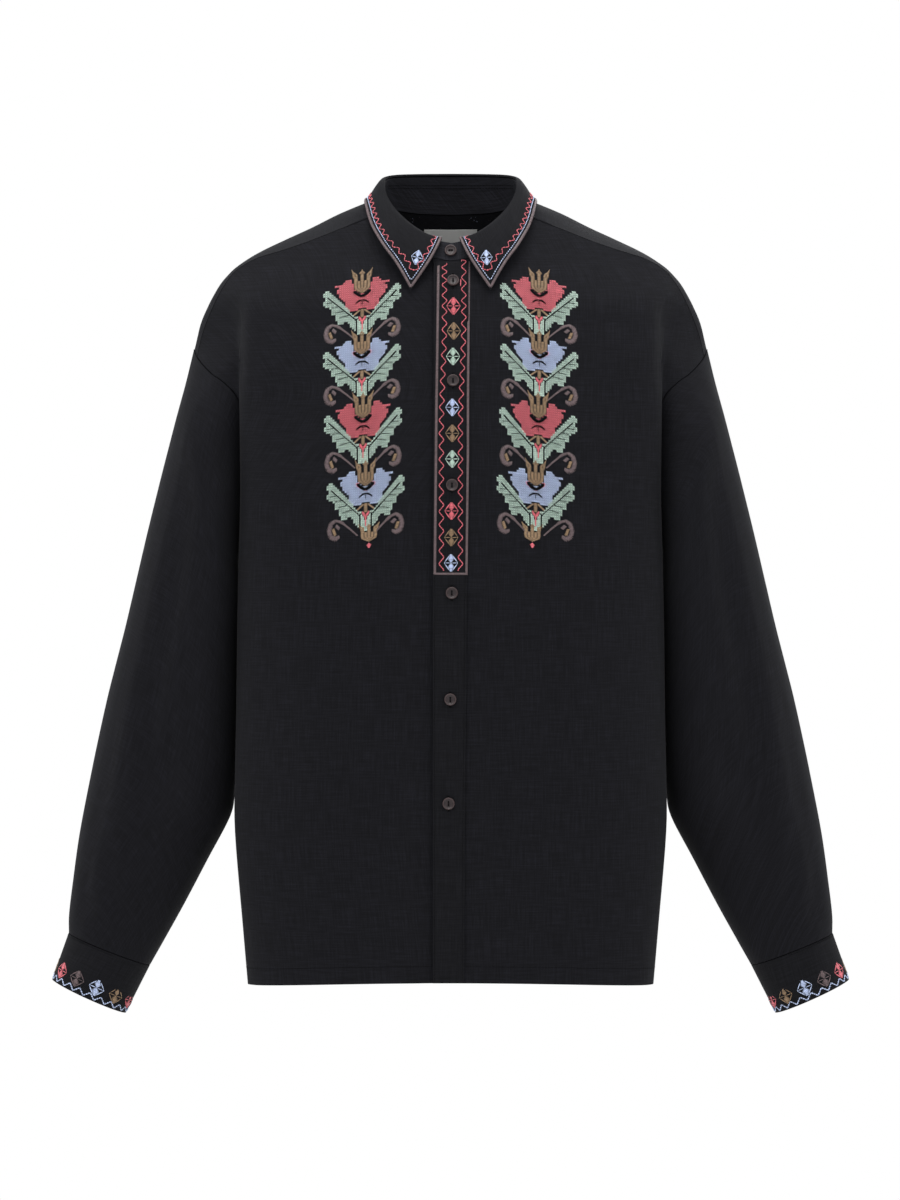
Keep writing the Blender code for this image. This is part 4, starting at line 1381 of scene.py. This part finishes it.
# Cuff rings: the place a given way round and up from the edge
def cuffLine(grid, up):
    line = []
    for k in range(len(grid[0])):
        column = [row[k] for row in grid][::-1]
        run = 0.0
        spot = column[-1]
        for p, q in zip(column, column[1:]):
            step = (q - p).length
            if run + step >= up:
                spot = p.lerp(q, (up - run) / step)
                break
            run += step
        line.append(spot)
    centre = sum(line, Vector()) / len(line)
    rise = (grid[0][0] - grid[-1][0]).normalized()
    result = []
    for k, p in enumerate(line):
        ahead = line[min(k + 1, len(line) - 1)] - line[max(k - 1, 0)]
        n = ahead.cross(rise).normalized()
        result.append((p, n if n.dot(p - centre) > 0 else -n))
    return result


CUFF_CYCLE = ["red", "taupe", "blue", "tan"]
CUFF_STEP = 21.6
CUFF_FIRST = 343.2
for grid, flip in ((fineCuffRight, False), (fineCuffLeft, True)):
    base = cuffLine(grid, 4.1)
    zigzag("blue", base, 2.4, 11.7, 1.25, 0.75, flat=0.1)
    middle = cuffLine(grid, 13.5)
    run = measured(middle)
    front = [k for k in range(len(middle)) if middle[k][0].y < 0]
    start = min(front, key=lambda k: abs(abs(middle[k][0].x) - CUFF_FIRST))
    heart = run[start]
    lowest = int(-(heart - 8) // CUFF_STEP) + 1
    highest = int((run[-1] - 8 - heart) // CUFF_STEP)
    rise = (grid[0][0] - grid[-1][0]).normalized()
    for k in range(lowest, highest + 1):
        def cuffSpot(x, y, k=k):
            p, n = atRun(middle, run, heart + k * CUFF_STEP + x * 1.28)
            return p + rise * y, n

        order = -k if not flip else k
        diamond(CUFF_CYCLE[(order + 2) % 4], cuffSpot, 0.95)

print("stage: seams")


def seam(points, normalFrom, out=0.05, length=2.4, gap=0.7, wide=0.45, high=0.28):
    line = []
    for p in points:
        spot, n, index, near = normalFrom.find_nearest(p)
        outward = Vector((p.x, p.y, 0))
        n = n if n.dot(outward) > 0 else -n
        line.append((spot + n * out, n))
    running("black", line, length, gap, wide, high)


def inset(grid, distance, top=False):
    # A line inside the grid, this far from its first row, or its last
    order = grid[::-1] if top else grid
    line = []
    for k in range(len(grid[0])):
        run = 0.0
        for a, b in zip(order, order[1:]):
            step = (b[k] - a[k]).length
            if run + step >= distance:
                line.append(a[k].lerp(b[k], (distance - run) / step))
                break
            run += step
    return line


# Inside the neck: two stitch lines on the stand, and the backs of a few stitches under it
for py in (185, 188):
    line = [seenAt(px, py, "stand") for px in range(386, 517, 3)]
    running("black", [(p + n * 2.1, n) for p, n in line], 2.3, 0.7, 0.5, 0.3)
clothTrees["yoke"] = treeOf([fineYoke])
for low, high in ((409, 420), (466, 480), (487, 497)):
    for k in range(6):
        px = dice.uniform(low, high)
        p, n = seenAt(px, dice.uniform(216, 221.5), "yoke")
        p = p + n * 1.1
        side = Vector((dice.uniform(0.5, 1.1), 0, dice.uniform(-0.7, 0.7)))
        # The stitch backs are painted dark (shade 0.12), painted shade inside the neck
        stitch(dice.choice(("taupe", "taupe", "blue")), (p, n), (p + side, n), 0.45, 0.25, 0.12)


# The neck label: plain white woven tape, sewn inside the yoke
def tape():
    material, tree, shader = newMaterial("white_woven_tape", Roughness=0.6, Sheen_Weight=0.15)
    uv = addNode(tree, "ShaderNodeUVMap").outputs["UV"]
    ribs = addNode(tree, "ShaderNodeTexWave", {"bands_direction": "Y"}, Vector=uv,
                   Scale=math.tau / 20 / 0.0005, Distortion=0.6)
    tint = ramp(tree, ribs.outputs["Fac"], [(0.0, srgb("C9C8C4")), (1.0, srgb("EDECE8"))])
    tree.links.new(tint, shader.inputs["Base Color"])
    bump = addNode(tree, "ShaderNodeBump", Height=ribs.outputs["Fac"], Strength=0.4, Distance=0.0002)
    tree.links.new(bump.outputs["Normal"], shader.inputs["Normal"])
    return material


labelShell = shell("white_neck_label", refine(labelRows, 4, 4), 0.5, tape(), None)
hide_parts("label")

# Buttons: a rounded rim round a dished face, two bored holes, dark thread through them
BUTTON = {"sides": 48, "hole_sides": 14, "profile": [
    (0.70, 0.0), (0.93, 0.1), (1.0, 0.32), (1.0, 0.74), (0.975, 0.9), (0.92, 0.99), (0.86, 0.99),
    (0.79, 0.92), (0.72, 0.78), (0.66, 0.67), (0.6, 0.62)], "thread": [
    (0.5, 0.3), (0.5, 0.66), (0.38, 0.86), (0, 0.9), (-0.38, 0.86), (-0.5, 0.66), (-0.5, 0.3)]}


def horn():
    # Dark brown, satin, faintly clouded; the rim is painted lighter than the dish as a painted highlight, and
    # the dish and holes darker as painted shade
    material, tree, shader = newMaterial("brown_button", Roughness=0.38, Specular_IOR_Level=0.45)
    where = addNode(tree, "ShaderNodeTexCoord").outputs["Object"]
    cloud = addNode(tree, "ShaderNodeTexNoise", Vector=where, Scale=420.0, Detail=3.0)
    shade = addNode(tree, "ShaderNodeAttribute", {"attribute_name": "shade"})
    both = addNode(tree, "ShaderNodeMath", {"operation": "MULTIPLY_ADD"}, _0=cloud.outputs["Fac"], _1=0.35,
                   _2=shade.outputs["Fac"])
    tint = ramp(tree, both.outputs[0], [(0.1, srgb("201819")), (1.0, srgb("3D2E2D"))])
    tree.links.new(tint, shader.inputs["Base Color"])
    return material


def bored(outer, holes):
    # Flat triangles between a round edge and its holes
    flat = [Vector(p) for ring in [outer] + holes for p in ring]
    edges = []
    base = 0
    for ring in [outer] + holes:
        edges += [(base + k, base + (k + 1) % len(ring)) for k in range(len(ring))]
        base += len(ring)
    found = delaunay_2d_cdt(flat, edges, [], 0, 1e-6)[2]
    kept = []
    for face in found:
        middle = sum((flat[i] for i in face), Vector((0, 0))) / len(face)
        if not any(inside(middle.x, middle.y, ring) for ring in holes):
            kept.append(tuple(face))
    return kept


def button(name, centre, normal, upright, material):
    away = normal.normalized()
    side = upright.cross(away).normalized()
    top = away.cross(side).normalized()
    half = BUTTON_ACROSS / 2
    count = BUTTON["sides"]

    def ring(radius, sides, y=0.0):
        return [(radius * math.cos(math.tau * k / sides), y + radius * math.sin(math.tau * k / sides))
                for k in range(sides)]

    points = []
    shades = []

    def put(flat, z, shade):
        base = len(points)
        points.extend(centre + side * x + top * y + away * z for x, y in flat)
        shades.extend([shade] * len(flat))
        return base

    rings = []
    for r, z in BUTTON["profile"]:
        # Shade value per ring: painted highlight on the rim (0.9), painted shade in the dish (0.25)
        rings.append(put(ring(half * r, count), BUTTON_THICK * z, 0.9 if r > 0.8 else 0.25))
    holes = [ring(HOLE_ACROSS / 2, BUTTON["hole_sides"], sign * HOLE_APART / 2) for sign in (1, -1)]
    # Painted shade down the holes (0.1 at the top, 0 at the foot)
    deep = [(put(hole, BUTTON_THICK * 0.62, 0.1), put(hole, 0, 0.0)) for hole in holes]
    faces = []
    for low, high in zip(rings, rings[1:]):
        faces += [(low + k, low + (k + 1) % count, high + (k + 1) % count, high + k) for k in range(count)]
    for upper, lower in deep:
        sides = BUTTON["hole_sides"]
        for k in range(sides):
            after = (k + 1) % sides
            faces.append((upper + k, upper + after, lower + after, lower + k))
    for level, start in ((0, rings[-1]), (1, rings[0])):
        radius = half * BUTTON["profile"][-1 if level == 0 else 0][0]
        index = [start + k for k in range(count)]
        for pair in deep:
            index += [pair[level] + k for k in range(BUTTON["hole_sides"])]
        for face in bored(ring(radius, count), holes):
            spots = tuple(index[i] for i in face)
            faces.append(spots if level == 0 else spots[::-1])
    obj = joined(name.replace("button", "brown_button"), points, faces, material, shades=shades)
    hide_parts(name)
    for shift in (-0.35, 0.35):
        path = []
        for y, z in BUTTON["thread"]:
            path.append((centre + side * shift + top * y * HOLE_APART + away * z * BUTTON_THICK, away))
        strand("black", path, 0.6, 0.3, False, 1.0)


hornMaterial = horn()
UP = Vector((0, 0, 1))
buttonTree = treeOf([placketRows])
spot, normal, index, gap = standTree.ray_cast(Vector((0, -400, STAND_BUTTON[1])), Vector((0, 1, 0)))
normal = normal if normal.y < 0 else -normal
button("button_stand", spot + normal * 0.4, normal, Vector((1, 0, 0)), hornMaterial)
for k, (x, z) in enumerate(FRONT_BUTTONS):
    spot, normal, index, gap = buttonTree.ray_cast(Vector((x, -400, z)), Vector((0, 1, 0)))
    normal = normal if normal.y < 0 else -normal
    button("button_%d" % (k + 1), spot + normal * 0.4, normal, UP, hornMaterial)
cuff = cuffRows(CUFF_TOP, CUFF_EDGE)
spot = cuff[1][0].lerp(cuff[1][1], 0.77)
alongCuff = (cuff[2][0] - cuff[0][0]).normalized()
roundCuff = (cuff[1][1] - cuff[1][0]).normalized()
away = roundCuff.cross(alongCuff).normalized()
middle = sum((p for p in cuff[1]), Vector()) / len(cuff[1])
away = away if away.dot(spot - middle) > 0 else -away
button("cuff_button_left", spot + away * 0.6, away, roundCuff, hornMaterial)
button("cuff_button_right", otherSide(spot + away * 0.6), otherSide(away), otherSide(roundCuff), hornMaterial)


# Buttonholes: a close bar of stitches each side of a slit, seen above and below each button
for x, z in FRONT_BUTTONS:
    for offset in (-0.55, 0.55):
        bar = []
        for k in range(9):
            spot, normal, index, gap = buttonTree.ray_cast(Vector((x + offset, -400, z + 7.6 - 1.9 * k)),
                                                           Vector((0, 1, 0)))
            normal = normal if normal.y < 0 else -normal
            bar.append((spot + normal * 0.05, normal))
        satin("black", bar, 0.9, 0.5, 0.25, slant=0.1)

bodyTrees = {key: treeOf([grid]) for key, grid in (
    ("left", fineLeft), ("right", fineRight), ("back", fineBack), ("yoke", fineYoke),
    ("cuffLeft", fineCuffLeft), ("cuffRight", fineCuffRight), ("placket", finePlacket))}
sleeveTrees = [treeOf([fineSleeveLeft]), treeOf([fineSleeveRight])]
# Round each armhole and along each shoulder seam: an unbroken dark line of black thread, painted shadow in
# the seam's groove
for k, grid in enumerate((fineSleeveLeft, fineSleeveRight)):
    seam(grid[0] + grid[0][:1], sleeveTrees[k], 0.1, 3.0, 0.0, 0.7, 0.25)
for side in (1, -1):
    edge = along(vectors(SHOULDER_SEAM), 90)
    seam([Vector((p.x * side, p.y, p.z)) for p in edge], bodyTrees["yoke"], 0.1, 3.0, 0.0, 0.7, 0.25)
seam(inset(fineLeft, 16), bodyTrees["left"])
seam(inset(fineRight, 16), bodyTrees["right"])
seam(inset(fineBack, 16), bodyTrees["back"])
seam(inset(fineBack, 3.0, True), bodyTrees["back"])
for grid, tree in ((fineCuffLeft, "cuffLeft"), (fineCuffRight, "cuffRight")):
    seam(inset(grid, 1.6), bodyTrees[tree])
for edge in (0.06, 0.94):
    line = [row[0].lerp(row[-1], edge) for row in finePlacket]
    seam(line, bodyTrees["placket"])

for colour, (points, faces, shades) in work.items():
    obj = joined("embroidery_" + colour if colour != "black" else "black_stitching_and_seam_shadow", points, faces,
                 THREADS[colour], shades=shades)
    print("   ", colour, len(faces) * 2)
